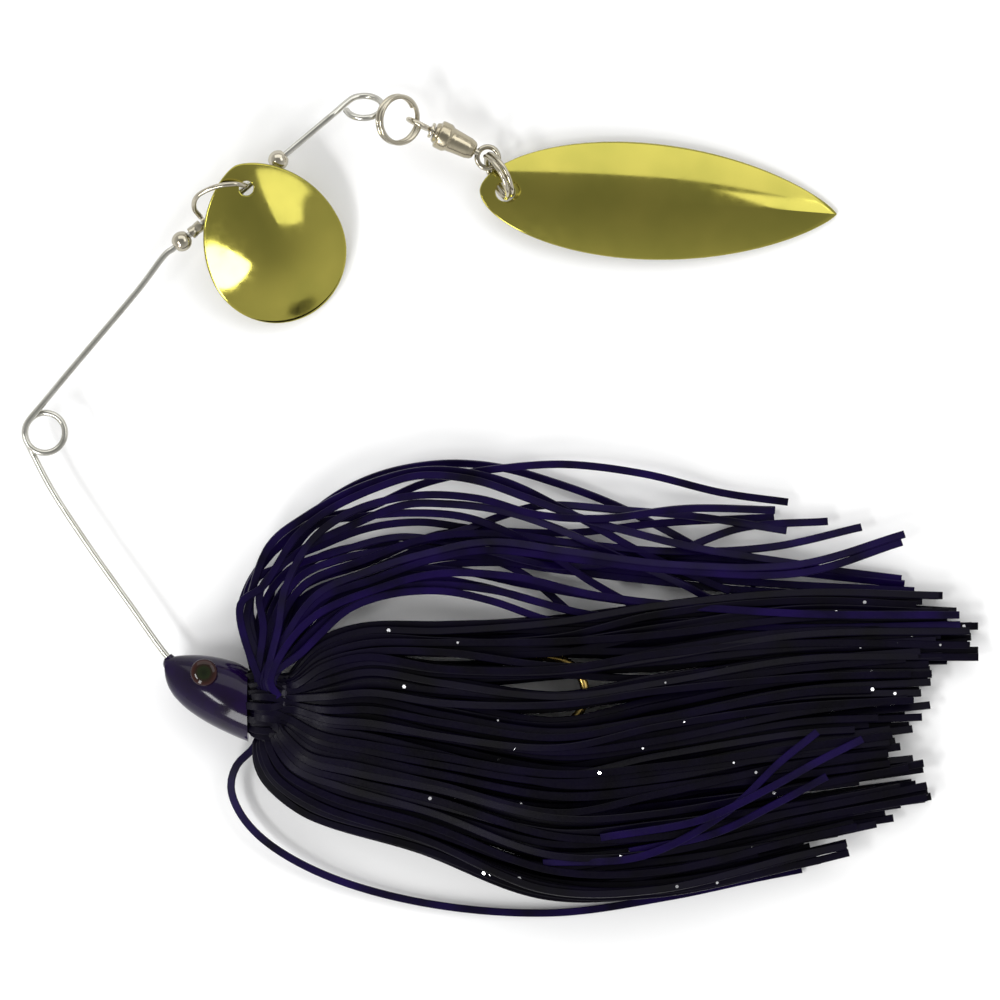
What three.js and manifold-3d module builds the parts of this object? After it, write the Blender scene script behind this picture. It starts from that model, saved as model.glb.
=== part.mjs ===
// Spinnerbait lying on its side: +X runs from the nose to the skirt tips, +Y from the hook side
// to the blade side, and +Z is up from the surface that it lies on. All sizes are millimetres.
import * as THREE from 'three';
import { mergeVertices } from 'three/addons/utils/BufferGeometryUtils.js';
import Module from 'manifold-3d';

const wasm = await Module();
wasm.setup();

// ---------- driving dimensions ----------
const WIRE_RADIUS = 0.45;
const CUT_CLEARANCE = 0.3;

const LOWER_ARM_Z = 5.0;
const COIL_RISE = 1.25;
const UPPER_ARM_Z = LOWER_ARM_Z + COIL_RISE;
const COIL_CENTRE = [-63.6, 9.4];
const COIL_RADIUS = 2.8;
const COIL_START_DEG = 205;
const COIL_SWEEP_DEG = 425;
const ARM_KINK = [-45.9, 34.9];
const ARM_TIP_HEADING_DEG = 40;
const STRAIGHT_LENGTH = 29.5;
const END_LOOP_CENTRE = [-19.0, 54.9];
const END_LOOP_RADIUS = 2.6;
const END_LOOP_TILT_DEG = 50;

const HEAD_FRONT_X = -46.9;
const HEAD_REAR_X = -35.2;
const NECK_END_X = -28.6;
const NECK_RADIUS = 1.95;
const EYE_PLACE = [-41.2, -24.0];
const EYE_RADIUS = 1.9;
const EYE_BACK_AT = 3.6;
const EYE_DOME = [[1, 4.35], [0.72, 4.78], [0.36, 4.98], [0, 5.03]];

const HOOK_WIRE_RADIUS = 0.62;
const HOOK_SHANK_SLOPE_DEG = -4.7;
const HOOK_BEND_CENTRE = [7.0, -27.0];
const HOOK_BEND_RADIUS = 4.9;
const HOOK_POINT_SLOPE_DEG = -10.5;
const HOOK_POINT_LENGTH = 11.7;
const HOOK_CONE_SHARE = 0.18;
const BARB_OUTLINE = [[0, 0], [2.2, 0], [-0.5, 1.25]];
const BARB_THICKNESS = 0.5;
const BARB_SUNK = 0.3;
const BARB_BACK = 1.2;
const HOOK_EYE_CENTRE = [-39.2, -28.1];
const HOOK_EYE_RADIUS = 1.45;

const BEAD_RADIUS = 1.43;
const BEAD_BORE_RADIUS = 0.7;
const BEAD_LOWER_AT = 1.9;
const BEAD_UPPER_AT = 19.5;
const SLEEVE_RADIUS = 0.85;
const SLEEVE_LENGTH = 2.0;
const SLEEVE_AT = 4.5;
const CLEVIS_EARS_AT = [6.1, 10.2];
const CLEVIS_EAR_RADIUS = 1.15;
const CLEVIS_EAR_THICKNESS = 0.55;
const CLEVIS_WIRE_RADIUS = 0.36;

const BLADE_THICKNESS = 0.5;
const COLORADO = {
  centre: 10.7, near: 14.2, far: 10.4, halfWidth: 9.9, nearPower: 1.3, farPower: 1,
  crown: 3.0, endLift: 1.2, holeRadius: 1.1,
};
const COLORADO_PLACE = { hole: [-35.3, 43.4, 9.3], heading: -64.2, pitch: 19.5, roll: -5 };
const WILLOW = {
  centre: 18.4, near: 22.0, far: 28.4, halfWidth: 8.2, nearPower: 1.12, farPower: 1.6,
  crown: 2.3, endLift: 0.5, holeRadius: 1.5,
};
const WILLOW_PLACE = { hole: [0.75, 43.2, 3.45], heading: -3.7, pitch: 2.6, roll: 0 };

const RING_WIRE_RADIUS = 0.34;
const RING_PITCH = 0.76;
const RING_TURNS = 1.9;
const RING_RADIUS = 3.25;
const FRONT_RING = { centre: [-14.15, 53.05, 7.35], start: 34, tiltX: 9.5, tiltY: 37 };
const REAR_RING = { centre: [-0.19, 45.4, 4.9], start: 202, lean: 15.9, heading: -63.2 };

const SWIVEL_FRONT = [-9.2, 51.5, 5.2];
const SWIVEL_HEADING_DEG = -25.5;
const SWIVEL_DROP_DEG = 7;
const BARREL_LENGTH = 6.3;
const BALL_COUNT = 6;
const BALL_RADIUS = 0.36;
const BALL_CLEARANCE = 0.12;
const BALLS_AT = 1.08;
const SHAFT_RADIUS = 0.5;
const EYE_WIRE_RADIUS = 0.38;
const FRONT_EYE_RADIUS = 1.65;
const FRONT_EYE_AT = -2.35;
const REAR_EYE_RADIUS = 1.5;
const REAR_EYE_PAST_BARREL = 2.05;

const COLLAR = { from: -32.4, to: -29.8, inner: 3.3, outer: 4.3 };
const REAR_LOCKS = 20;
const LOCK_FILL = 0.76;
// Where the rear locks end, from the top edge of the bundle to its lower edge.
const TAIL_X = [61, 66, 67.9, 62, 60, 57, 55, 57, 63, 53, 45];
// The rear bundle as a flattened sleeve around the hook: at each x, its centre height across (y),
// its centre above the surface (z), its outer half axes and its inner half axes.
const BUNDLE = [
  { x: -33.2, y: -28.6, z: 5.0, outer: [3.0, 3.0], inner: [2.3, 2.3] },
  { x: -29.4, y: -28.9, z: 5.0, outer: [3.0, 3.0], inner: [2.3, 2.3] },
  { x: -25.5, y: -31.0, z: 5.0, outer: [11.0, 4.9], inner: [7.0, 2.6] },
  { x: -20.0, y: -31.4, z: 5.0, outer: [14.2, 5.2], inner: [12.2, 2.9] },
  { x: -8.0, y: -33.7, z: 5.0, outer: [16.2, 5.2], inner: [15.0, 3.3] },
  { x: 8.0, y: -36.6, z: 5.0, outer: [19.0, 5.2], inner: [18.0, 3.3] },
  { x: 20.0, y: -36.5, z: 4.5, outer: [19.2, 4.7], inner: [17.8, 1.8] },
  { x: 42.0, y: -34.2, z: 3.0, outer: [16.6, 3.2], inner: [14.0, 0.5] },
  { x: 68.0, y: -32.0, z: 2.2, outer: [13.6, 2.4], inner: [11.0, 0.4] },
];

const UPPER_LOCK = { width: 1.5, thickness: 0.42, rootX: -34.1, rootY: -25.0 };
const UPPER_LEVEL = { root: 0.75, rootStep: 0.72, tail: 0.4, tailStep: 0.5 };
// Routes of the upper locks over the surface after their root, as [x, y].
const UPPER_ROUTES = [
  [[-36.4, -15.5], [-34.5, -8.3], [-24.2, 0.7], [-15.7, 4.6], [-4, 5.3], [12, 4.8], [27, 2.2], [40.6, -0.3]],
  [[-34.4, -14.5], [-30, -6.5], [-21, 0.2], [-10, 3.4], [1, 1.3], [13.4, -5.9], [22, -12.5]],
  [[-33.4, -14.0], [-28, -7], [-20, -3.2], [-8, -0.8], [6, -1.8], [20, -2.9], [38.5, -2.4]],
  [[-36.0, -13.5], [-31.5, -6], [-22, 1], [-12, 4], [2, 4.2], [13.4, 0.1], [25, -5.5], [35, -12]],
  [[-32.6, -15.0], [-25.5, -8.6], [-14, -5.2], [2, -4.6], [24, -4.4], [50.7, -3.8]],
  [[-32.9, -17.5], [-27, -11.5], [-16, -8.6], [0, -8], [22, -9.3], [56.8, -11.8]],
  [[-31.2, -18.6], [-24, -13.8], [-10, -11.6], [10, -12.2], [34, -13.8], [56, -13.6]],
  [[-35.0, -16.0], [-31, -10.5], [-20, -5], [-6, -2.8], [12, -4], [34, -7.6], [56.3, -5.9]],
  [[-33.6, -16.0], [-28, -9.8], [-18, -6.8], [-6, -7.1], [8, -10.4], [19, -15]],
  [[-30.8, -20.0], [-22, -15.9], [-6, -14.1], [14, -14.6], [40, -16], [63, -15.6]],
  [[-34.0, -12.5], [-26, -3.4], [-16, 1.4], [-4, 0.9], [8, -3.5], [20, -9.5], [29, -14.5]],
  [[-35.2, -12.5], [-29, -5], [-20, 0.3], [-8, 1.9], [8, -0.4], [30, -3.9], [44, -8.6]],
];

const LOOP_LOCK = { width: 1.2, thickness: 0.6 };
const LOOP_ROUTE = [
  [-34.1, -32.2, 4.2], [-34.2, -35.0, 4.0], [-37.2, -38.0, 3.6], [-37.1, -42.2, 3.0],
  [-33.4, -47.6, 2.4], [-24.9, -52.5, 1.6], [-10.6, -56.7, 1.0], [7.3, -58.1, 0.8],
  [24.0, -55.9, 0.7], [33.5, -53.8, 0.6],
];

// ---------- materials ----------
const finish = (color, roughness, metalness) =>
  new THREE.MeshStandardMaterial({ color, roughness, metalness });
const stainless = finish(0xb9bcc0, 0.25, 1);
const nickel = finish(0xc9c4b6, 0.15, 1);
const gold = finish(0xe0b23c, 0.12, 1);
const hookGold = finish(0xa8842c, 0.3, 1);
const headPaint = finish(0x1e0c4a, 0.15, 0);
const eyePaint = finish(0x3a2a18, 0.1, 0);
const bandRubber = finish(0x121018, 0.6, 0);
const silicone = finish(0x1e0a5a, 0.4, 0);

// ---------- geometry helpers ----------
const rad = THREE.MathUtils.degToRad;
const lerp = THREE.MathUtils.lerp;
const vec = (x, y, z) => new THREE.Vector3(x, y, z);

function weld(geometry) {
  const bare = geometry.clone();
  bare.deleteAttribute('normal');
  bare.deleteAttribute('uv');
  return mergeVertices(bare, 1e-5);
}

function toSolid(geometry) {
  const g = weld(geometry);
  return new wasm.Manifold(new wasm.Mesh({
    numProp: 3,
    vertProperties: Float32Array.from(g.attributes.position.array),
    triVerts: Uint32Array.from(g.index.array),
  }));
}

function toGeometry(solid) {
  const m = solid.getMesh();
  const g = new THREE.BufferGeometry();
  g.setAttribute('position', new THREE.BufferAttribute(m.vertProperties, 3));
  g.setIndex(new THREE.BufferAttribute(m.triVerts, 1));
  return g;
}

const join = (...parts) => toGeometry(parts.map(toSolid).reduce((a, b) => a.add(b)));
const cut = (body, ...tools) =>
  toGeometry(tools.map(toSolid).reduce((a, b) => a.subtract(b), toSolid(body)));

// A closed skin over a row of point loops, with a flat fan over each end. Each four-sided patch is
// split along its shorter diagonal, so that facing walls of two neighbours split alike.
function loft(loops) {
  const n = loops[0].length;
  const position = loops.flat().flatMap((p) => [p.x, p.y, p.z]);
  const index = [];
  for (let k = 0; k < loops.length - 1; k++) {
    for (let i = 0; i < n; i++) {
      const next = (i + 1) % n;
      const a = k * n + i;
      const b = k * n + next;
      const isRising = loops[k][i].distanceTo(loops[k + 1][next])
        < loops[k][next].distanceTo(loops[k + 1][i]);
      index.push(...(isRising
        ? [a, b, b + n, a, b + n, a + n]
        : [a, b, a + n, b, b + n, a + n]));
    }
  }
  const last = (loops.length - 1) * n;
  for (let i = 1; i < n - 1; i++) {
    index.push(0, i + 1, i, last, last + i, last + i + 1);
  }
  const g = new THREE.BufferGeometry();
  g.setAttribute('position', new THREE.Float32BufferAttribute(position, 3));
  g.setIndex(index);
  return g;
}

function polygon(rx, ry, sides) {
  const points = Array.from({ length: sides }, (_, i) => {
    const a = 2 * Math.PI * (i + 0.5) / sides;
    return new THREE.Vector2(rx * Math.cos(a), ry * Math.sin(a));
  });
  return new THREE.Shape(points);
}

const tube = (path, radius, steps, sides = 8) =>
  new THREE.ExtrudeGeometry(polygon(radius, radius, sides), { extrudePath: path, steps });

const smooth = (points) => new THREE.CatmullRomCurve3(points, false, 'centripetal');

class Helix extends THREE.Curve {
  constructor(radius, pitch, turns) {
    super();
    Object.assign(this, { radius, pitch, turns });
  }

  getPoint(t, target = new THREE.Vector3()) {
    const a = 2 * Math.PI * this.turns * t;
    return target.set(
      this.radius * Math.cos(a), this.radius * Math.sin(a), this.pitch * this.turns * (t - 0.5));
  }
}

const cylinder = (radius, length, sides = 16) => {
  const g = new THREE.CylinderGeometry(radius, radius, length, sides);
  return g.rotateX(Math.PI / 2);
};

const lathe = (profile, sides) =>
  new THREE.LatheGeometry(profile.map(([r, y]) => new THREE.Vector2(r, y)), sides);

function piece(name, geometry, material) {
  const mesh = new THREE.Mesh(weld(geometry), material);
  mesh.name = name;
  return mesh;
}

// ---------- wire form ----------
const tipDirection = vec(
  Math.cos(rad(ARM_TIP_HEADING_DEG)), Math.sin(rad(ARM_TIP_HEADING_DEG)), 0);
const tipSide = vec(-tipDirection.y, tipDirection.x, 0);
const onArmTip = (along, side = 0, up = 0) => vec(...ARM_KINK, UPPER_ARM_Z)
  .addScaledVector(tipDirection, along).addScaledVector(tipSide, side).setZ(UPPER_ARM_Z + up);

function coilPoints() {
  const count = 22;
  return Array.from({ length: count + 1 }, (_, i) => {
    const a = rad(COIL_START_DEG - COIL_SWEEP_DEG * i / count);
    return vec(
      COIL_CENTRE[0] + COIL_RADIUS * Math.cos(a),
      COIL_CENTRE[1] + COIL_RADIUS * Math.sin(a),
      LOWER_ARM_Z + COIL_RISE * i / count);
  });
}

function endLoopPoints() {
  const from = 128;
  const to = -162;
  const count = 14;
  const tilt = rad(END_LOOP_TILT_DEG);
  return Array.from({ length: count + 1 }, (_, i) => {
    const a = rad(lerp(from, to, i / count));
    const across = END_LOOP_RADIUS * Math.sin(a);
    return vec(
      END_LOOP_CENTRE[0] + END_LOOP_RADIUS * Math.cos(a),
      END_LOOP_CENTRE[1] + across * Math.cos(tilt),
      UPPER_ARM_Z - across * Math.sin(tilt));
  });
}

// Inside the head the wire climbs over the hook's eye and drops through it.
const wireInHead = [
  vec(HOOK_EYE_CENTRE[0], HOOK_EYE_CENTRE[1], LOWER_ARM_Z - 1.3),
  vec(HOOK_EYE_CENTRE[0], HOOK_EYE_CENTRE[1], LOWER_ARM_Z + 0.3),
  vec(HOOK_EYE_CENTRE[0] - 0.5, HOOK_EYE_CENTRE[1] + 0.4, LOWER_ARM_Z + 1.25),
  vec(HOOK_EYE_CENTRE[0] - 2.2, HOOK_EYE_CENTRE[1] + 1.8, LOWER_ARM_Z + 1.35),
  vec(HOOK_EYE_CENTRE[0] - 5.2, HOOK_EYE_CENTRE[1] + 4.1, LOWER_ARM_Z + 0.4),
];
const lowerArm = [
  vec(-46.6, -21.8, LOWER_ARM_Z),
  vec(-51.9, -14.4, LOWER_ARM_Z),
  vec(-57.5, -6.5, LOWER_ARM_Z),
  vec(-62.6, 1.3, LOWER_ARM_Z),
  vec(-65.1, 6.0, LOWER_ARM_Z),
];
const upperArm = [
  vec(-63.9, 13.4, UPPER_ARM_Z),
  vec(-60.0, 18.1, UPPER_ARM_Z),
  vec(-50.4, 29.5, UPPER_ARM_Z),
  onArmTip(-0.8, 0.1),
  onArmTip(0.2),
  onArmTip(1.0),
  onArmTip(STRAIGHT_LENGTH / 2),
  onArmTip(STRAIGHT_LENGTH - 2),
  onArmTip(STRAIGHT_LENGTH - 1),
  onArmTip(STRAIGHT_LENGTH),
];

const wirePath = smooth([
  ...wireInHead, ...lowerArm, ...coilPoints(), ...upperArm, ...endLoopPoints()]);
const wireForm = tube(wirePath, WIRE_RADIUS, 124);

// ---------- hook ----------
function hookPath(frontX) {
  const slope = rad(HOOK_SHANK_SLOPE_DEG);
  const point = rad(HOOK_POINT_SLOPE_DEG);
  const [cx, cy] = HOOK_BEND_CENTRE;
  const at = (a) => vec(
    cx + HOOK_BEND_RADIUS * Math.cos(a), cy + HOOK_BEND_RADIUS * Math.sin(a), LOWER_ARM_Z);
  const from = slope - Math.PI / 2;
  const to = point + Math.PI / 2;
  const bend = Array.from({ length: 9 }, (_, i) => at(lerp(from, to, i / 8)));
  const shank = [0, 0.5, 0.97].map((t) => {
    const x = lerp(frontX, bend[0].x, t);
    return vec(x, bend[0].y - (bend[0].x - x) * Math.tan(slope), LOWER_ARM_Z);
  });
  const tip = [0.15, 0.6, 0.82].map((t) => vec(
    bend[8].x - t * HOOK_POINT_LENGTH * Math.cos(point),
    bend[8].y - t * HOOK_POINT_LENGTH * Math.sin(point), LOWER_ARM_Z));
  return [...shank, ...bend, ...tip];
}

function hookSolid() {
  const points = hookPath(HOOK_EYE_CENTRE[0] + HOOK_EYE_RADIUS);
  const shaft = tube(smooth(points), HOOK_WIRE_RADIUS, 36);
  const end = points[points.length - 1];
  const direction = end.clone().sub(points[points.length - 2]).normalize();
  const pointLength = HOOK_POINT_LENGTH * HOOK_CONE_SHARE;
  const cone = lathe([[0, -0.3], [HOOK_WIRE_RADIUS, -0.3],
    [HOOK_WIRE_RADIUS * 0.8, pointLength * 0.5], [0.08, pointLength], [0, pointLength]], 8);
  cone.applyQuaternion(new THREE.Quaternion().setFromUnitVectors(vec(0, 1, 0), direction));
  cone.translate(end.x, end.y, end.z);
  const barbShape = new THREE.Shape(BARB_OUTLINE.map(([x, y]) => new THREE.Vector2(x, y)));
  const barb = new THREE.ExtrudeGeometry(
    barbShape, { depth: BARB_THICKNESS, bevelEnabled: false });
  barb.rotateX(Math.PI);
  barb.translate(0, -BARB_SUNK, BARB_THICKNESS / 2);
  barb.applyMatrix4(new THREE.Matrix4().makeRotationZ(Math.atan2(direction.y, direction.x))
    .multiply(new THREE.Matrix4().makeRotationX(Math.PI)));
  barb.translate(
    end.x - BARB_BACK * direction.x, end.y - BARB_BACK * direction.y, end.z);
  const eye = new THREE.TorusGeometry(HOOK_EYE_RADIUS, HOOK_WIRE_RADIUS, 6, 14);
  eye.translate(...HOOK_EYE_CENTRE, LOWER_ARM_Z);
  return join(shaft, cone, barb, eye);
}

// ---------- head ----------
// The head is a flat-backed bullet: the top line is nearly level and the belly is full and round.
function headSection(t) {
  const x = lerp(HEAD_FRONT_X, HEAD_REAR_X, t);
  const top = -22.5 + 1.0 * Math.sqrt(Math.sin(Math.PI * Math.min(t + 0.03, 1))) - 1.1 * t * t;
  const belly = -23.6 - 10.2 * Math.pow(t, 0.45);
  const halfThickness = 4.85 * Math.pow(Math.sin(Math.PI / 2 * Math.min(0.10 + t, 1)), 0.75);
  const sides = 14;
  return Array.from({ length: sides }, (_, i) => {
    const a = 2 * Math.PI * (i + 0.5) / sides;
    return vec(
      x,
      (top + belly) / 2 + (top - belly) / 2 * Math.cos(a),
      LOWER_ARM_Z + halfThickness * Math.sin(a));
  });
}

function shankPoint(x) {
  const slope = rad(HOOK_SHANK_SLOPE_DEG);
  const bendX = HOOK_BEND_CENTRE[0] + HOOK_BEND_RADIUS * Math.sin(slope);
  const bendY = HOOK_BEND_CENTRE[1] - HOOK_BEND_RADIUS * Math.cos(slope);
  return vec(x, bendY - (bendX - x) * Math.tan(slope), LOWER_ARM_Z);
}

function shankCylinder(radius, x0, x1, sides = 14) {
  const slope = rad(HOOK_SHANK_SLOPE_DEG);
  const middle = shankPoint((x0 + x1) / 2);
  return new THREE.CylinderGeometry(radius, radius, (x1 - x0) / Math.cos(slope), sides)
    .rotateZ(slope - Math.PI / 2).translate(middle.x, middle.y, middle.z);
}

function headSolid() {
  const stations = [0, 0.05, 0.16, 0.34, 0.56, 0.8, 1];
  const shell = loft(stations.map(headSection));
  const neck = shankCylinder(NECK_RADIUS, HEAD_REAR_X - 1, NECK_END_X);
  const wireChannel = tube(
    smooth([...wireInHead, vec(-46.6, -21.8, LOWER_ARM_Z), vec(-48, -19.8, LOWER_ARM_Z)]),
    WIRE_RADIUS + CUT_CLEARANCE, 16);
  const wireEnd = cylinder(WIRE_RADIUS + CUT_CLEARANCE, 2.4, 12)
    .translate(HOOK_EYE_CENTRE[0], HOOK_EYE_CENTRE[1], LOWER_ARM_Z - 0.6);
  const hookEye = new THREE.CylinderGeometry(
    HOOK_EYE_RADIUS + HOOK_WIRE_RADIUS + CUT_CLEARANCE,
    HOOK_EYE_RADIUS + HOOK_WIRE_RADIUS + CUT_CLEARANCE, 2 * (HOOK_WIRE_RADIUS + CUT_CLEARANCE), 16);
  hookEye.rotateX(Math.PI / 2).translate(...HOOK_EYE_CENTRE, LOWER_ARM_Z);
  const shankBore = shankCylinder(
    HOOK_WIRE_RADIUS + CUT_CLEARANCE, HOOK_EYE_CENTRE[0], NECK_END_X + 1, 12);
  const eyeSeats = [1, -1].map((side) => eyeGeometry(side, CUT_CLEARANCE));
  return cut(join(shell, neck), wireChannel, wireEnd, hookEye, shankBore, ...eyeSeats);
}

// A domed eye: its flat back is set into the side of the head.
function eyeGeometry(side, grow = 0) {
  const r = EYE_RADIUS + grow;
  const dome = EYE_DOME.map(([share, height]) => [r * share, height]);
  const g = lathe([[0, EYE_BACK_AT - grow], [r, EYE_BACK_AT - grow], ...dome]
    .map(([a, b]) => [a, b - 0.05]), 20);
  g.rotateX(side * Math.PI / 2);
  return g.translate(...EYE_PLACE, LOWER_ARM_Z);
}

// ---------- arm hardware ----------
function threaded(geometry, along) {
  const turn = new THREE.Quaternion().setFromUnitVectors(vec(0, 0, 1), tipDirection);
  geometry.applyQuaternion(turn);
  const p = onArmTip(along);
  return geometry.translate(p.x, p.y, p.z);
}

function beadGeometry() {
  const rim = Math.asin(BEAD_BORE_RADIUS / BEAD_RADIUS);
  const rings = 8;
  const outer = Array.from({ length: rings + 1 }, (_, i) => {
    const a = lerp(rim, Math.PI - rim, i / rings);
    return [BEAD_RADIUS * Math.sin(a), -BEAD_RADIUS * Math.cos(a)];
  });
  const profile = [...outer, outer[0]];
  return lathe(profile, 16).rotateX(Math.PI / 2);
}

const washer = (outer, inner, length, sides = 16) => lathe([
  [inner, -length / 2], [outer, -length / 2], [outer, length / 2], [inner, length / 2],
  [inner, -length / 2]], sides).rotateX(Math.PI / 2);

const clevisRoute = [
  onArmTip(CLEVIS_EARS_AT[0], 0.9, 0), onArmTip(6.2, 2.3, 1.5), onArmTip(7.6, 3.2, 3.5),
  onArmTip(10.4, 2.5, 4.7), onArmTip(12.8, 1.0, 4.8), onArmTip(13.75, 0.0, 3.2),
  onArmTip(13.6, 0.5, 1.8), onArmTip(12.4, 1.2, 0.7), onArmTip(CLEVIS_EARS_AT[1], 0.9, 0),
];

function clevisSolid() {
  const strap = tube(smooth(clevisRoute), CLEVIS_WIRE_RADIUS, 18, 6);
  const ears = CLEVIS_EARS_AT.map((at) => threaded(
    washer(CLEVIS_EAR_RADIUS, BEAD_BORE_RADIUS, CLEVIS_EAR_THICKNESS), at));
  return join(strap, ...ears);
}

// ---------- blades ----------
// Height of a blade's middle surface over its rim plane: a dome that lifts towards the hole end.
function bladeHeight(blade, share, x) {
  const lift = Math.min(x * share, 0) / blade.near;
  return blade.crown * (1 - share * share) + blade.endLift * lift * lift;
}

// A cupped blade in its own frame: the hole is at the origin and +X runs to the far end.
function bladeGeometry(blade) {
  const around = 32;
  const rings = [1, 0.82, 0.55, 0.25];
  const rim = Array.from({ length: around }, (_, i) => {
    const a = 2 * Math.PI * i / around;
    const isFar = Math.cos(a) > 0;
    const reach = isFar ? blade.far : blade.near;
    const power = isFar ? blade.farPower : blade.nearPower;
    const side = Math.sign(Math.sin(a)) * Math.pow(Math.abs(Math.sin(a)), power);
    return [reach * Math.cos(a), blade.halfWidth * side];
  });
  const face = (z0) => rings.map((k) => rim.map(([x, y]) => vec(
    blade.centre + k * x, k * y, z0 + bladeHeight(blade, k, x))));
  const top = face(BLADE_THICKNESS / 2);
  const under = face(-BLADE_THICKNESS / 2);
  const loops = [...under.reverse(), ...top];
  const body = loft(loops);
  const hole = cylinder(blade.holeRadius, 12, 16);
  return cut(body, hole);
}

function placeBlade(blade, { hole, heading, pitch, roll }) {
  const g = bladeGeometry(blade);
  g.translate(0, 0, -bladeHeight(blade, blade.centre / blade.near, -blade.near));
  g.rotateX(rad(roll)).rotateY(rad(pitch)).rotateZ(rad(heading));
  return g.translate(...hole);
}

// ---------- split rings and swivel ----------
const splitRing = (startDeg) =>
  tube(new Helix(RING_RADIUS, RING_PITCH, RING_TURNS), RING_WIRE_RADIUS, 38, 6)
    .rotateZ(rad(startDeg));

function frontRing() {
  const { centre, start, tiltX, tiltY } = FRONT_RING;
  return splitRing(start).rotateX(rad(tiltX)).rotateY(rad(tiltY)).translate(...centre);
}

function rearRing() {
  const { centre, start, lean, heading } = REAR_RING;
  return splitRing(start).rotateX(rad(90 - lean)).rotateZ(rad(heading)).translate(...centre);
}

// Swivel pieces are drawn along +Y from the front face of the barrel, then turned onto its axis.
const placeOnSwivel = (geometry) => geometry.rotateX(-rad(SWIVEL_DROP_DEG))
  .rotateZ(rad(SWIVEL_HEADING_DEG - 90)).translate(...SWIVEL_FRONT);

function barrelGeometry() {
  return lathe([
    [0.8, 0], [1.5, 0], [1.95, 0.35], [2.0, 0.9], [2.0, 2.1], [1.75, 2.5], [1.65, 3.2],
    [1.5, 5.4], [1.3, 6.05], [0.95, BARREL_LENGTH], [0.8, BARREL_LENGTH], [0.8, 5.6], [1.05, 5.4],
    [1.05, 3.4], [1.5, 2.9], [1.5, 0.55], [0.8, 0.55], [0.8, 0]], 16);
}

function frontEyeSolid() {
  const loop = new THREE.TorusGeometry(FRONT_EYE_RADIUS, EYE_WIRE_RADIUS, 6, 16);
  loop.rotateY(Math.PI / 2).translate(0, FRONT_EYE_AT, 0);
  const pin = lathe([[0, -0.75], [SHAFT_RADIUS, -0.75], [SHAFT_RADIUS, 1.6], [1.3, 1.6], [1.3, 2.2],
    [0, 2.2]], 14);
  return join(loop, pin);
}

function rearEyeSolid() {
  const loop = new THREE.TorusGeometry(REAR_EYE_RADIUS, EYE_WIRE_RADIUS, 6, 16);
  loop.translate(0, BARREL_LENGTH + REAR_EYE_PAST_BARREL, 0);
  const pin = lathe([[0, 4.7], [0.85, 4.7], [0.85, 5.2], [SHAFT_RADIUS, 5.35],
    [SHAFT_RADIUS, BARREL_LENGTH + 0.6], [0, BARREL_LENGTH + 0.6]], 14);
  return join(loop, pin);
}

function ballGeometry(index) {
  const a = 2 * Math.PI * index / BALL_COUNT;
  const reach = SHAFT_RADIUS + BALL_RADIUS + BALL_CLEARANCE;
  return new THREE.SphereGeometry(BALL_RADIUS, 8, 5)
    .translate(reach * Math.cos(a), BALLS_AT, reach * Math.sin(a));
}

// ---------- skirt ----------
function bundleAt(x) {
  const k = Math.max(BUNDLE.findIndex((row) => row.x >= x), 1);
  const [a, b] = [BUNDLE[k - 1], BUNDLE[k]];
  const t = (x - a.x) / (b.x - a.x);
  const mix = (name) => lerp(a[name], b[name], t);
  const mixPair = (name) => [0, 1].map((i) => lerp(a[name][i], b[name][i], t));
  return { x, y: mix('y'), z: mix('z'), outer: mixPair('outer'), inner: mixPair('inner') };
}

// One lock of the rear bundle: a sector of the sleeve, from under the collar to its own tail.
function rearLock(index) {
  const endX = TAIL_X[Math.min(index, REAR_LOCKS - index)];
  const stations = [...BUNDLE.map((row) => row.x).filter((x) => x < endX - 2), endX];
  const middle = 2 * Math.PI * index / REAR_LOCKS;
  const half = Math.PI / REAR_LOCKS * LOCK_FILL;
  return loft(stations.map((x) => {
    const { y, z, outer, inner } = bundleAt(x);
    const on = ([ry, rz], a) => vec(x, y + ry * Math.cos(a), Math.max(0, z + rz * Math.sin(a)));
    return [
      on(outer, middle - half), on(outer, middle), on(outer, middle + half),
      on(inner, middle + half), on(inner, middle), on(inner, middle - half),
    ];
  }));
}

// A flat ribbon along a route. Its width lies in the surface's plane, its thickness along Z.
function ribbon(route, width, thickness, steps) {
  const path = smooth(route);
  return loft(Array.from({ length: steps + 1 }, (_, i) => {
    const p = path.getPointAt(i / steps);
    const heading = path.getTangentAt(i / steps).setZ(0).normalize();
    const side = vec(heading.y, -heading.x, 0).multiplyScalar(width / 2);
    const up = vec(0, 0, thickness / 2);
    return [
      p.clone().sub(side).sub(up), p.clone().sub(side).add(up),
      p.clone().add(side).add(up), p.clone().add(side).sub(up),
    ];
  }));
}

// Each upper lock keeps its own level above the surface, so that the arches can cross.
function upperLock(index) {
  const { rootX, rootY, width, thickness } = UPPER_LOCK;
  const { root, rootStep, tail, tailStep } = UPPER_LEVEL;
  const tailX = TAIL_X[0];
  const level = (x) => {
    const t = THREE.MathUtils.smoothstep(x, rootX + 20, tailX);
    return lerp(root + rootStep * index, tail + tailStep * index, t);
  };
  const route = [[rootX, rootY], [rootX - 0.1, rootY + 3.5], ...UPPER_ROUTES[index]];
  return ribbon(route.map(([x, y]) => vec(x, y, level(x))), width, thickness, 20);
}

const collar = () => {
  const length = COLLAR.to - COLLAR.from;
  const slope = rad(HOOK_SHANK_SLOPE_DEG);
  const middle = shankPoint((COLLAR.from + COLLAR.to) / 2);
  return washer(COLLAR.outer, COLLAR.inner, length, 20).rotateY(Math.PI / 2).rotateZ(slope)
    .translate(middle.x, middle.y, middle.z);
};

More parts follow.
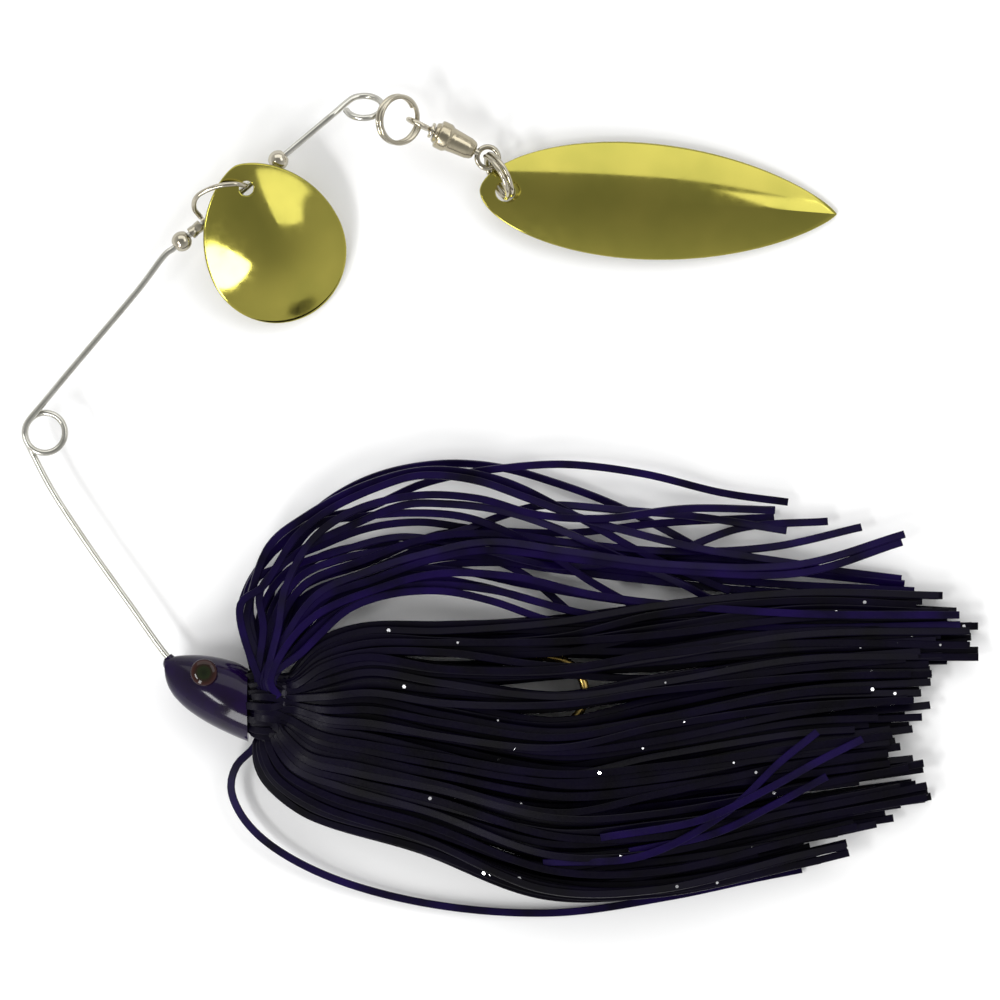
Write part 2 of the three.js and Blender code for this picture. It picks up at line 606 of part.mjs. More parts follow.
// ---------- assembly ----------
const spinnerbait = new THREE.Group();
spinnerbait.add(
  piece('wire_form', wireForm, stainless),
  piece('head', headSolid(), headPaint),
  piece('hook', hookSolid(), hookGold),
  piece('eye_left', eyeGeometry(1), eyePaint),
  piece('eye_right', eyeGeometry(-1), eyePaint),
  piece('skirt_collar', collar(), bandRubber),
  piece('bead_lower', threaded(beadGeometry(), BEAD_LOWER_AT), nickel),
  piece('bead_upper', threaded(beadGeometry(), BEAD_UPPER_AT), nickel),
  piece('spacer_sleeve',
    threaded(washer(SLEEVE_RADIUS, BEAD_BORE_RADIUS - 0.05, SLEEVE_LENGTH), SLEEVE_AT), nickel),
  piece('clevis', clevisSolid(), stainless),
  piece('colorado_blade',
    placeBlade(COLORADO, COLORADO_PLACE), gold),
  piece('front_split_ring', frontRing(), nickel),
  piece('swivel_front_eye', placeOnSwivel(frontEyeSolid()), nickel),
  piece('swivel_barrel', placeOnSwivel(barrelGeometry()), nickel),
  piece('swivel_rear_eye', placeOnSwivel(rearEyeSolid()), nickel),
  piece('rear_split_ring', rearRing(), nickel),
  piece('willow_blade',
    placeBlade(WILLOW, WILLOW_PLACE), gold),
);
for (let i = 0; i < BALL_COUNT; i++) {
  spinnerbait.add(piece(`bearing_ball_${i + 1}`, placeOnSwivel(ballGeometry(i)), stainless));
}
for (let i = 0; i < REAR_LOCKS; i++) {
  spinnerbait.add(piece(`skirt_rear_${String(i + 1).padStart(2, '0')}`, rearLock(i), silicone));
}
UPPER_ROUTES.forEach((_, i) => {
  spinnerbait.add(piece(`skirt_upper_${String(i + 1).padStart(2, '0')}`, upperLock(i), silicone));
});
spinnerbait.add(piece('skirt_loop', ribbon(
  LOOP_ROUTE.map(([x, y, z]) => vec(x, y, z)), LOOP_LOCK.width, LOOP_LOCK.thickness, 22), silicone));

// The origin is on the surface, under the middle of the whole lure.
const box = new THREE.Box3().setFromObject(spinnerbait);
spinnerbait.position.set(
  -(box.min.x + box.max.x) / 2, -(box.min.y + box.max.y) / 2, -box.min.z);

export default spinnerbait;
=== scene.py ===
import math
import random

import bpy
import numpy as np
from mathutils import Matrix, Vector


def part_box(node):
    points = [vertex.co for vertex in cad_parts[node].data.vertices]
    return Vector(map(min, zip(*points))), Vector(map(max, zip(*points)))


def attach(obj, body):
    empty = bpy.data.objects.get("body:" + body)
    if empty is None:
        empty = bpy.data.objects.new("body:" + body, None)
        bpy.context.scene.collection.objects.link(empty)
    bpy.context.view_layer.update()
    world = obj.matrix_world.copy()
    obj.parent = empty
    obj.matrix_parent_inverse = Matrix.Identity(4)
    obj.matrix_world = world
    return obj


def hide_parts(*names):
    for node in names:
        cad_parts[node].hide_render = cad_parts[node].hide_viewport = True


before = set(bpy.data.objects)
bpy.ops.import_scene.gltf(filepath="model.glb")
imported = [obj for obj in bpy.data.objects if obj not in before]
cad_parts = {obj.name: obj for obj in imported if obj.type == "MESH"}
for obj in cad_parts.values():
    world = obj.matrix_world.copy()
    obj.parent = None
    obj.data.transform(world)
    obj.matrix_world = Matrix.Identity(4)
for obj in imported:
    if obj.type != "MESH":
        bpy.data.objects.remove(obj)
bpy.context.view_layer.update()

# The visible spinnerbait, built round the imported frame. Lengths are in millimetres on the lure's
# own drawing until place() turns them into metres in the frame.

MM = 0.001
random.seed(11)

# ---------- driving dimensions, in millimetres on the lure's own drawing ----------
WIRE_RADIUS = 0.45
LOWER_ARM_Z = 5.0
COIL_RISE = 1.25
UPPER_ARM_Z = LOWER_ARM_Z + COIL_RISE
COIL_CENTRE = (-63.6, 9.4)
COIL_RADIUS = 2.8
COIL_START_DEG = 205
COIL_SWEEP_DEG = 425
ARM_KINK = (-45.9, 34.9)
ARM_TIP_HEADING = math.radians(40)
STRAIGHT_LENGTH = 29.5
END_LOOP_CENTRE = (-19.0, 54.9)
END_LOOP_RADIUS = 2.6
END_LOOP_TILT = math.radians(50)
END_LOOP_START_DEG = 128
END_LOOP_SWEEP_DEG = 290
BEAD_RADIUS = 1.43
BEAD_FACE_RADIUS = 0.72
BORE_RADIUS = 0.62
BEAD_LOWER_AT = 1.9
BEAD_UPPER_AT = 19.5
SLEEVE_AT = 4.5
CLEVIS_EYES_AT = (6.1, 10.2)
CLEVIS_WIRE_RADIUS = 0.36
HEAD_FRONT_X = -46.9
HEAD_REAR_X = -35.2
HEAD_TOP_Y = -22.5
HEAD_NOSE_Y = -23.6
HEAD_BELLY_DROP = 10.2
HEAD_HALF_THICKNESS = 4.85
NECK_RADIUS = 1.95
NECK_END_X = -28.7
COLLAR_X = -31.1
EYE_PLACE = (-41.2, -24.0)
EYE_RADIUS = 1.9
EYE_BACK_AT = 3.6
EYE_EDGE_AT = 4.3
EYE_DOME = 0.7
HOOK_WIRE_RADIUS = 0.62
SHANK_SLOPE = math.radians(-4.7)
POINT_SLOPE = math.radians(-10.5)
HOOK_BEND_CENTRE = (7.0, -27.0)
HOOK_BEND_RADIUS = 4.9
HOOK_POINT_LENGTH = 11.7
HOOK_TAPER_LENGTH = 2.6
HOOK_FRONT_X = -36.5
BARB_TO_TIP = 4.0
RING_RADIUS = 3.25
RING_WIRE_RADIUS = 0.34
RING_PITCH = 0.76
RING_TURNS = 1.9
FRONT_RING_START_DEG = 34
REAR_RING_START_DEG = 202
BARREL_LENGTH = 6.3
SWIVEL_WIRE_RADIUS = 0.38
SHAFT_RADIUS = 0.5
FRONT_EYE_RADIUS = 1.65
FRONT_EYE_AT = -2.35
REAR_EYE_RADIUS = 1.5
REAR_EYE_PAST_BARREL = 2.05
BALL_COUNT = 6
BALL_RADIUS = 0.36
BALL_CLEARANCE = 0.12
BALLS_AT = 1.08
BLADE_THICKNESS = 0.5
BLADE_EDGE_ROUND = 0.14
BLADE_HOLE_WAIST = 0.08
STRAND_WIDTH = 1.05
STRAND_THICKNESS = 0.5
STRAND_CORNER = 0.09
STRAND_STEP = 0.9
REAR_LOCKS = 20
UPPER_LOCKS = 12
FLAKE_COUNT = 56


# ---------- placing the drawing on the frame ----------
def arm_point(along, side=0.0, up=0.0):
    """A point beside the straight upper arm, counted from the kink."""
    c, s = math.cos(ARM_TIP_HEADING), math.sin(ARM_TIP_HEADING)
    return Vector((
        ARM_KINK[0] + along * c - side * s, ARM_KINK[1] + along * s + side * c, UPPER_ARM_Z + up))


def drawing_shift():
    """The lower bead is the same on the drawing and in the frame, so it ties the two together."""
    lo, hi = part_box("bead_lower")
    return (lo + hi) / 2 - arm_point(BEAD_LOWER_AT) * MM


SHIFT = drawing_shift()


def place(points):
    return [(p[0] * MM + SHIFT.x, p[1] * MM + SHIFT.y, p[2] * MM + SHIFT.z) for p in points]


# ---------- mesh helpers ----------
def add_mesh(name, points, faces, material, body, nodes=(), slot=None, sharp_deg=35):
    mesh = bpy.data.meshes.new(name)
    mesh.from_pydata(place(points), [], faces)
    mesh.validate()
    mesh.update()
    mesh.shade_smooth()
    mesh.set_sharp_from_angle(angle=math.radians(sharp_deg))
    piece = bpy.data.objects.new(name, mesh)
    bpy.context.scene.collection.objects.link(piece)
    mesh.materials.append(material)
    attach(piece, body)
    if nodes:
        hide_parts(*nodes)


def skin(loops, closed=False):
    """Quads over a row of point loops; the two ends are capped unless the row closes on itself."""
    n = len(loops[0])
    points = [p for loop in loops for p in loop]
    faces = []
    rows = len(loops)
    for k in range(rows if closed else rows - 1):
        nxt = (k + 1) % rows
        for i in range(n):
            j = (i + 1) % n
            faces.append((k * n + i, k * n + j, nxt * n + j, nxt * n + i))
    if not closed:
        faces.append(tuple(reversed(range(n))))
        faces.append(tuple(range((rows - 1) * n, rows * n)))
    return points, faces


def merge(*parts):
    points, faces = [], []
    for p, f in parts:
        base = len(points)
        points += [Vector(q) for q in p]
        faces += [tuple(i + base for i in face) for face in f]
    return points, faces


def moved(part, matrix):
    points, faces = part
    return [matrix @ Vector(p) for p in points], faces


def frames_along(points):
    """Tangents and side directions that turn as little as possible along a line of points."""
    tangents = []
    last = len(points) - 1
    for i in range(last + 1):
        tangents.append((points[min(i + 1, last)] - points[max(i - 1, 0)]).normalized())
    up = Vector((0, 0, 1)) if abs(tangents[0].z) < 0.9 else Vector((1, 0, 0))
    side = tangents[0].cross(up).normalized()
    sides = []
    for t in tangents:
        side = (side - t * side.dot(t)).normalized()
        sides.append(side.copy())
    return tangents, sides


def tube(points, radius, sides):
    """A round bar along points. radius is a number or a function of the share of the way along."""
    points = [Vector(p) for p in points]
    tangents, across = frames_along(points)
    loops = []
    for k, (p, t, s) in enumerate(zip(points, tangents, across)):
        r = radius(k / (len(points) - 1)) if callable(radius) else radius
        b = t.cross(s)
        loops.append([
            p + s * (r * math.cos(a)) + b * (r * math.sin(a))
            for a in (2 * math.pi * i / sides for i in range(sides))])
    return skin(loops)


def smooth_line(points, spacing):
    """A centripetal Catmull-Rom line through points, cut into steps of about spacing."""
    p = [Vector(q) for q in points]
    p = [2 * p[0] - p[1]] + p + [2 * p[-1] - p[-2]]
    line = []
    for i in range(1, len(p) - 2):
        a, b, c, d = p[i - 1:i + 3]
        t1 = math.sqrt(max((b - a).length, 1e-6))
        t2 = t1 + math.sqrt(max((c - b).length, 1e-6))
        t3 = t2 + math.sqrt(max((d - c).length, 1e-6))
        count = max(2, round((c - b).length / spacing))
        for k in range(count):
            t = t1 + (t2 - t1) * k / count
            a1 = a * ((t1 - t) / t1) + b * (t / t1)
            a2 = b * ((t2 - t) / (t2 - t1)) + c * ((t - t1) / (t2 - t1))
            a3 = c * ((t3 - t) / (t3 - t2)) + d * ((t - t2) / (t3 - t2))
            b1 = a1 * ((t2 - t) / t2) + a2 * (t / t2)
            b2 = a2 * ((t3 - t) / (t3 - t1)) + a3 * ((t - t1) / (t3 - t1))
            line.append(b1 * ((t2 - t) / (t2 - t1)) + b2 * ((t - t1) / (t2 - t1)))
    line.append(p[-2])
    return line


def lathe(profile, sides):
    """Turns (radius, height) points about +Y. The profile starts and ends on the axis or closes."""
    is_open = profile[0][0] < 1e-6
    rings = [q for q in profile if q[0] > 1e-6]
    loops = [[
        Vector((r * math.cos(a), y, r * math.sin(a)))
        for a in (2 * math.pi * i / sides for i in range(sides))] for r, y in rings]
    points, faces = skin(loops, closed=not is_open)
    return points, [tuple(reversed(f)) for f in faces]


def rounded(profile, radius):
    """Rounds every inner corner of an open profile."""
    steps = 4
    out = [profile[0]]
    for a, b, c in zip(profile, profile[1:], profile[2:]):
        a, b, c = Vector(a), Vector(b), Vector(c)
        r = min(radius, (a - b).length / 2.1, (c - b).length / 2.1)
        start, end = b + (a - b).normalized() * r, b + (c - b).normalized() * r
        for k in range(steps + 1):
            t = k / steps
            out.append(tuple(start * (1 - t) ** 2 + b * (2 * t * (1 - t)) + end * t * t))
    out.append(profile[-1])
    return out


def ring_bar(radius, bar):
    """A closed torus about +Z."""
    sides, steps = 14, 56
    loops = []
    for k in range(steps):
        a = 2 * math.pi * k / steps
        loops.append([
            Vector(((radius + bar * math.cos(b)) * math.cos(a),
                    (radius + bar * math.cos(b)) * math.sin(a), bar * math.sin(b)))
            for b in (2 * math.pi * i / sides for i in range(sides))])
    return skin(loops, closed=True)


# ---------- materials ----------
def new_material(name):
    material = bpy.data.materials.new(name)
    material.use_nodes = True
    tree = material.node_tree
    return material, tree, tree.nodes["Principled BSDF"]


def noise(tree, scale, detail=3.0):
    coords = tree.nodes.new("ShaderNodeTexCoord")
    texture = tree.nodes.new("ShaderNodeTexNoise")
    texture.inputs["Scale"].default_value = scale
    texture.inputs["Detail"].default_value = detail
    tree.links.new(coords.outputs["Object"], texture.inputs["Vector"])
    return texture.outputs["Fac"]


NOISE_LOW = 0.3
NOISE_HIGH = 0.7


def spread(tree, fac, low, high):
    """A value from low to high, over the part of the noise that it mostly covers."""
    node = tree.nodes.new("ShaderNodeMapRange")
    node.inputs["From Min"].default_value = NOISE_LOW
    node.inputs["From Max"].default_value = NOISE_HIGH
    node.inputs["To Min"].default_value = low
    node.inputs["To Max"].default_value = high
    tree.links.new(fac, node.inputs["Value"])
    return node.outputs["Result"]


def mixed(tree, fac, dark, light):
    """A colour from dark to light, over the same part of the noise."""
    node = tree.nodes.new("ShaderNodeValToRGB")
    node.color_ramp.elements[0].position = NOISE_LOW
    node.color_ramp.elements[0].color = (*dark, 1)
    node.color_ramp.elements[1].position = NOISE_HIGH
    node.color_ramp.elements[1].color = (*light, 1)
    tree.links.new(fac, node.inputs["Fac"])
    return node.outputs["Color"]


def bump(tree, shader, fac, strength, distance):
    node = tree.nodes.new("ShaderNodeBump")
    node.inputs["Strength"].default_value = strength
    node.inputs["Distance"].default_value = distance
    tree.links.new(fac, node.inputs["Height"])
    tree.links.new(node.outputs["Normal"], shader.inputs["Normal"])


def metal(name, dark, light, rough, grain=900.0, relief=0.05):
    material, tree, shader = new_material(name)
    shader.inputs["Metallic"].default_value = 1.0
    fine = noise(tree, grain, 4.0)
    broad = noise(tree, grain / 6, 2.0)
    tree.links.new(mixed(tree, broad, dark, light), shader.inputs["Base Color"])
    tree.links.new(spread(tree, fine, *rough), shader.inputs["Roughness"])
    bump(tree, shader, fine, relief, 0.00002)
    return material


def silicone(name, dark, light):
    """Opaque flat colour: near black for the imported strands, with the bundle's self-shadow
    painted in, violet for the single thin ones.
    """
    material, tree, shader = new_material(name)
    broad = noise(tree, 160.0, 2.0)
    tree.links.new(mixed(tree, broad, dark, light), shader.inputs["Base Color"])
    fine = noise(tree, 2600.0)
    tree.links.new(spread(tree, fine, 0.32, 0.46), shader.inputs["Roughness"])
    shader.inputs["IOR"].default_value = 1.41
    shader.inputs["Specular IOR Level"].default_value = 0.13
    bump(tree, shader, fine, 0.12, 0.00003)
    return material


def head_paint():
    material, tree, shader = new_material("head_paint")
    broad = noise(tree, 220.0)
    tree.links.new(
        mixed(tree, broad, (0.004, 0.001, 0.009), (0.007, 0.001, 0.028)),
        shader.inputs["Base Color"])
    fine = noise(tree, 1500.0, 2.0)
    tree.links.new(spread(tree, fine, 0.10, 0.17), shader.inputs["Roughness"])
    shader.inputs["Specular IOR Level"].default_value = 0.16
    shader.inputs["Coat Weight"].default_value = 0.12
    shader.inputs["Coat Roughness"].default_value = 0.05
    bump(tree, shader, broad, 0.10, 0.00006)
    return material


def eye_paint():
    """Rings about the middle of the eye: a dark pupil, an olive field and a reddish rim."""
    material, tree, shader = new_material("eye_paint")
    lo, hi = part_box("eye_left")
    coords = tree.nodes.new("ShaderNodeTexCoord")
    flatten = tree.nodes.new("ShaderNodeVectorMath")
    flatten.operation = "MULTIPLY"
    flatten.inputs[1].default_value = (1, 1, 0)
    tree.links.new(coords.outputs["Object"], flatten.inputs[0])
    distance = tree.nodes.new("ShaderNodeVectorMath")
    distance.operation = "DISTANCE"
    distance.inputs[1].default_value = ((lo.x + hi.x) / 2, (lo.y + hi.y) / 2, 0)
    tree.links.new(flatten.outputs["Vector"], distance.inputs[0])
    share = tree.nodes.new("ShaderNodeMath")
    share.operation = "DIVIDE"
    share.inputs[1].default_value = EYE_RADIUS * MM
    tree.links.new(distance.outputs["Value"], share.inputs[0])
    ramp = tree.nodes.new("ShaderNodeValToRGB")
    pupil, *between, rim = [
        (0.0, (0.004, 0.006, 0.002)), (0.42, (0.008, 0.012, 0.003)), (0.62, (0.012, 0.004, 0.002)),
        (0.86, (0.026, 0.005, 0.003)), (1.0, (0.012, 0.004, 0.010))]
    for element, (at, colour) in zip(ramp.color_ramp.elements, (pupil, rim)):
        element.position = at
        element.color = (*colour, 1)
    for at, colour in between:
        ramp.color_ramp.elements.new(at).color = (*colour, 1)
    tree.links.new(share.outputs["Value"], ramp.inputs["Fac"])
    tree.links.new(ramp.outputs["Color"], shader.inputs["Base Color"])
    tree.links.new(spread(tree, noise(tree, 1200.0), 0.05, 0.10), shader.inputs["Roughness"])
    shader.inputs["Coat Weight"].default_value = 0.1
    shader.inputs["Coat Roughness"].default_value = 0.03
    shader.inputs["Specular IOR Level"].default_value = 0.2
    return material


def band_rubber():
    material, tree, shader = new_material("band_rubber")
    fine = noise(tree, 2200.0, 5.0)
    tree.links.new(
        mixed(tree, fine, (0.006, 0.005, 0.012), (0.018, 0.014, 0.030)),
        shader.inputs["Base Color"])
    tree.links.new(spread(tree, fine, 0.5, 0.75), shader.inputs["Roughness"])
    bump(tree, shader, fine, 0.3, 0.00005)
    return material


STEEL = metal("stainless_wire", (0.44, 0.43, 0.38), (0.58, 0.57, 0.52), (0.14, 0.26),
              grain=1400.0, relief=0.08)
NICKEL = metal("nickel", (0.40, 0.37, 0.29), (0.52, 0.48, 0.39), (0.09, 0.18))
BARREL = metal("swivel_nickel", (0.34, 0.30, 0.21), (0.47, 0.42, 0.31), (0.14, 0.26),
               grain=1300.0)
BALL = metal("ball_steel", (0.62, 0.62, 0.62), (0.72, 0.72, 0.72), (0.05, 0.12))
GOLD = metal("blade_gold", (0.33, 0.305, 0.060), (0.40, 0.355, 0.072), (0.07, 0.13),
             grain=700.0, relief=0.02)
HOOK = metal("hook_bronze", (0.40, 0.27, 0.07), (0.58, 0.42, 0.14), (0.20, 0.34),
             grain=1200.0)
FLAKE = metal("skirt_flakes", (0.75, 0.75, 0.78), (0.92, 0.92, 0.95), (0.15, 0.3))
PAINT = head_paint()
EYE = eye_paint()
RUBBER = band_rubber()
# The packed strands are the same silicone as the single ones, darkened to paint in the shade that
# the bundle casts on itself.
PACKED_SHADED = silicone("silicone_packed_painted_shade", (0.0006, 0.0003, 0.0016), (0.0018, 0.0006, 0.0085))
SINGLE = silicone("silicone_single", (0.0012, 0.0004, 0.006), (0.0062, 0.0012, 0.040))


# ---------- wire form ----------
def wire_points():
    """From the end hooked through the hook's eye, up both arms, to the end loop."""
    anchor = Vector((-39.2, -28.1, LOWER_ARM_Z))
    points = [
        anchor + Vector((0, 0, -1.3)), anchor + Vector((0, 0, 0.3)),
        anchor + Vector((-0.5, 0.4, 1.25)), anchor + Vector((-2.2, 1.8, 1.35)),
        anchor + Vector((-5.2, 4.1, 0.4))]
    for x, y in ((-46.6, -21.8), (-51.9, -14.4), (-57.5, -6.5), (-62.6, 1.3), (-65.1, 6.0)):
        points.append(Vector((x, y, LOWER_ARM_Z)))
    count = 22
    for i in range(count + 1):
        a = math.radians(COIL_START_DEG - COIL_SWEEP_DEG * i / count)
        points.append(Vector((
            COIL_CENTRE[0] + COIL_RADIUS * math.cos(a), COIL_CENTRE[1] + COIL_RADIUS * math.sin(a),
            LOWER_ARM_Z + COIL_RISE * i / count)))
    for x, y in ((-63.9, 13.4), (-60.0, 18.1), (-50.4, 29.5)):
        points.append(Vector((x, y, UPPER_ARM_Z)))
    points.append(arm_point(-0.8, 0.1))
    for along in (0.2, 1.0, STRAIGHT_LENGTH / 2, STRAIGHT_LENGTH - 2, STRAIGHT_LENGTH - 1):
        points.append(arm_point(along))
    points.append(arm_point(STRAIGHT_LENGTH))
    count = 14
    for i in range(count + 1):
        a = math.radians(END_LOOP_START_DEG - END_LOOP_SWEEP_DEG * i / count)
        across = END_LOOP_RADIUS * math.sin(a)
        points.append(Vector((
            END_LOOP_CENTRE[0] + END_LOOP_RADIUS * math.cos(a),
            END_LOOP_CENTRE[1] + across * math.cos(END_LOOP_TILT),
            UPPER_ARM_Z - across * math.sin(END_LOOP_TILT))))
    return points


def build_wire():
    part = tube(smooth_line(wire_points(), 0.3), WIRE_RADIUS, 20)
    add_mesh("wire_form_bar", *part, STEEL, "root", ["wire_form"], "stainless_wire")


# ---------- head, eyes, collar ----------
def head_section(t, sides):
    """A cross-section at share t from nose to flat back: level top, full belly."""
    x = HEAD_FRONT_X + (HEAD_REAR_X - HEAD_FRONT_X) * t
    top = HEAD_TOP_Y + math.sqrt(math.sin(math.pi * min(t + 0.03, 1))) - 1.1 * t * t
    belly = HEAD_NOSE_Y - HEAD_BELLY_DROP * t ** 0.45
    half = HEAD_HALF_THICKNESS * math.sin(math.pi / 2 * min(0.10 + t, 1)) ** 0.75
    return [Vector((
        x, (top + belly) / 2 + (top - belly) / 2 * math.cos(a), LOWER_ARM_Z + half * math.sin(a)))
        for a in (2 * math.pi * i / sides for i in range(sides))]


def shank_point(x):
    """A point on the middle line of the hook's shank, run on through the head."""
    bend_x = HOOK_BEND_CENTRE[0] + HOOK_BEND_RADIUS * math.sin(SHANK_SLOPE)
    bend_y = HOOK_BEND_CENTRE[1] - HOOK_BEND_RADIUS * math.cos(SHANK_SLOPE)
    return Vector((x, bend_y - (bend_x - x) * math.tan(SHANK_SLOPE), LOWER_ARM_Z))


def build_head():
    stations = [(k / 44) ** 1.5 for k in range(45)]
    loops = [head_section(t, 56) for t in stations]
    nose = sum(loops[0], Vector()) / len(loops[0])
    # A rounded cap closes the nose, and a small cone of metal meets the wire there.
    cap = [[nose + (p - nose) * s + Vector((-0.25 * (1 - s * s), 0, 0)) for p in loops[0]]
           for s in (0.15, 0.45, 0.75, 0.93)]
    shell = skin(cap + loops)
    neck = tube([shank_point(x) for x in (-36.0, -33.0, NECK_END_X)], NECK_RADIUS, 32)
    weld = tube(
        [Vector((-45.0, -23.6, LOWER_ARM_Z)), Vector((-45.9, -22.65, LOWER_ARM_Z)),
         Vector((-46.5, -21.9, LOWER_ARM_Z))],
        lambda t: 1.15 - 0.5 * t, 24)
    add_mesh("head_body", *merge(shell, neck, weld), PAINT, "root", ["head"], "head_paint", 50)


def build_eyes():
    profile = [(0, EYE_BACK_AT), (EYE_RADIUS, EYE_BACK_AT), (EYE_RADIUS, EYE_EDGE_AT - 0.05)]
    dome = [(EYE_RADIUS * math.cos(a), EYE_EDGE_AT + EYE_DOME * math.sin(a))
            for a in (math.pi / 2 * k / 12 for k in range(12))]
    part = lathe(profile + dome + [(0, EYE_EDGE_AT + EYE_DOME)], 56)
    for side, name in ((1, "eye_left"), (-1, "eye_right")):
        turn = Matrix.Translation((*EYE_PLACE, LOWER_ARM_Z)) @ Matrix.Rotation(
            side * math.pi / 2, 4, "X")
        add_mesh(name + "_dome", *moved(part, turn), EYE, "root", [name], "eye_paint")


def build_collar():
    profile = [(3.3, -1.25), (4.05, -1.25), (4.3, -1.0), (4.3, -0.55), (4.12, -0.4), (4.12, 0.4),
               (4.3, 0.55), (4.3, 1.0), (4.05, 1.25), (3.3, 1.25)]
    part = lathe(profile, 56)
    middle = shank_point(COLLAR_X)
    turn = Matrix.Translation(middle) @ Matrix.Rotation(SHANK_SLOPE - math.pi / 2, 4, "Z")
    add_mesh("skirt_band", *moved(part, turn), RUBBER, "root", ["skirt_collar"], "band_rubber")


# ---------- hook ----------
def build_hook():
    cx, cy = HOOK_BEND_CENTRE
    arc = []
    steps = 24
    start, end = SHANK_SLOPE - math.pi / 2, POINT_SLOPE + math.pi / 2
    for i in range(steps + 1):
        a = start + (end - start) * i / steps
        arc.append(Vector((
            cx + HOOK_BEND_RADIUS * math.cos(a), cy + HOOK_BEND_RADIUS * math.sin(a), LOWER_ARM_Z)))
    shank = [shank_point(x) for x in np.linspace(HOOK_FRONT_X, arc[0].x - 0.5, 30)]
    back = Vector((-math.cos(POINT_SLOPE), -math.sin(POINT_SLOPE), 0))
    leg = [arc[-1] + back * s for s in np.linspace(0.4, HOOK_POINT_LENGTH, 40)]
    line = shank + arc + leg
    total = sum((b - a).length for a, b in zip(line, line[1:]))
    taper = HOOK_TAPER_LENGTH / total

    def radius(t):
        left = (1 - t) / taper
        return HOOK_WIRE_RADIUS * (1 if left > 1 else max(0.04, left ** 0.8))

    bar = tube(line, radius, 20)
    barb_root = arc[-1] + back * (HOOK_POINT_LENGTH - BARB_TO_TIP)
    inward = Vector((-back.y, back.x, 0))
    barb = tube(
        [barb_root + back * 2.2 + inward * 0.2, barb_root + back * 1.2 + inward * 0.6,
         barb_root - back * 0.1 + inward * 1.25],
        lambda t: 0.36 * (1 - t) + 0.03, 12)
    add_mesh("hook_bar", *merge(bar, barb), HOOK, "root", ["hook"], "hook_bronze")


# ---------- arm hardware ----------
def on_arm(part, along):
    """Turns a piece drawn about +Y onto the straight upper arm."""
    turn = Matrix.Translation(arm_point(along)) @ Matrix.Rotation(
        ARM_TIP_HEADING - math.pi / 2, 4, "Z")
    return moved(part, turn)


def build_beads():
    rim = math.asin(BEAD_FACE_RADIUS / BEAD_RADIUS)
    outer = [(BEAD_RADIUS * math.sin(a), -BEAD_RADIUS * math.cos(a))
             for a in np.linspace(rim, math.pi - rim, 30)]
    lip = math.cos(rim) * BEAD_RADIUS
    bevel, depth = BORE_RADIUS + 0.03, 0.12
    profile = [(BORE_RADIUS, -lip + depth), (bevel, -lip)]
    profile += outer + [(bevel, lip), (BORE_RADIUS, lip - depth)]
    part = lathe(profile, 48)
    for name, along in (("bead_lower", BEAD_LOWER_AT), ("bead_upper", BEAD_UPPER_AT)):
        add_mesh(name + "_ball", *on_arm(part, along), NICKEL, name, [name], "nickel")
    sleeve = [(BORE_RADIUS, -1.0), (0.78, -1.0), (0.85, -0.92), (0.85, -0.3), (0.80, -0.22),
              (0.80, 0.22), (0.85, 0.3), (0.85, 0.92), (0.78, 1.0), (BORE_RADIUS, 1.0)]
    add_mesh("spacer_sleeve_tube", *on_arm(lathe(sleeve, 40), SLEEVE_AT), NICKEL, "spacer_sleeve",
             ["spacer_sleeve"], "nickel")


def build_clevis():
    lower_eye, upper_eye = CLEVIS_EYES_AT
    route = [
        arm_point(lower_eye, 0.9, 0), arm_point(6.2, 2.3, 1.5), arm_point(7.6, 3.2, 3.5),
        arm_point(10.4, 2.5, 4.7), arm_point(12.8, 1.0, 4.8), arm_point(13.75, 0.0, 3.2),
        arm_point(13.6, 0.5, 1.8), arm_point(12.4, 1.2, 0.7), arm_point(upper_eye, 0.9, 0)]
    strap = tube(smooth_line(route, 0.2), CLEVIS_WIRE_RADIUS, 18)
    profile = [(0.66, -0.22), (0.72, -0.28), (1.05, -0.28), (1.15, -0.18), (1.15, 0.18),
               (1.05, 0.28), (0.72, 0.28), (0.66, 0.22)]
    eyes = [on_arm(lathe(profile, 40), along) for along in CLEVIS_EYES_AT]
    add_mesh("clevis_strap", *merge(strap, *eyes), NICKEL, "clevis", ["clevis"], "stainless_wire")


# ---------- blades ----------
# Each outline runs near towards the hole's end and far towards the tip, either side of its centre.
COLORADO = dict(
    centre=10.7, near=14.2, far=10.4, half=9.9, near_power=1.3, far_power=1.0, crown=3.0,
    flare=0.4, lift=1.2, hole=1.1, at=(-35.3, 43.4, 9.3), heading=-64.2, pitch=19.5, roll=-5)
WILLOW = dict(
    centre=18.4, near=22.0, far=28.4, half=8.2, near_power=1.12, far_power=1.6, crown=2.3,
    flare=0.0, lift=0.5, hole=1.5, at=(0.75, 43.2, 3.45), heading=-3.7, pitch=2.6, roll=0)


def blade_rim(blade, a):
    """A point of the outline, from the blade's middle, at parameter a."""
    is_far = math.cos(a) > 0
    reach = blade["far"] if is_far else blade["near"]
    power = blade["far_power"] if is_far else blade["near_power"]
    across = abs(math.sin(a)) ** power
    return reach * math.cos(a), blade["half"] * math.copysign(across, math.sin(a))


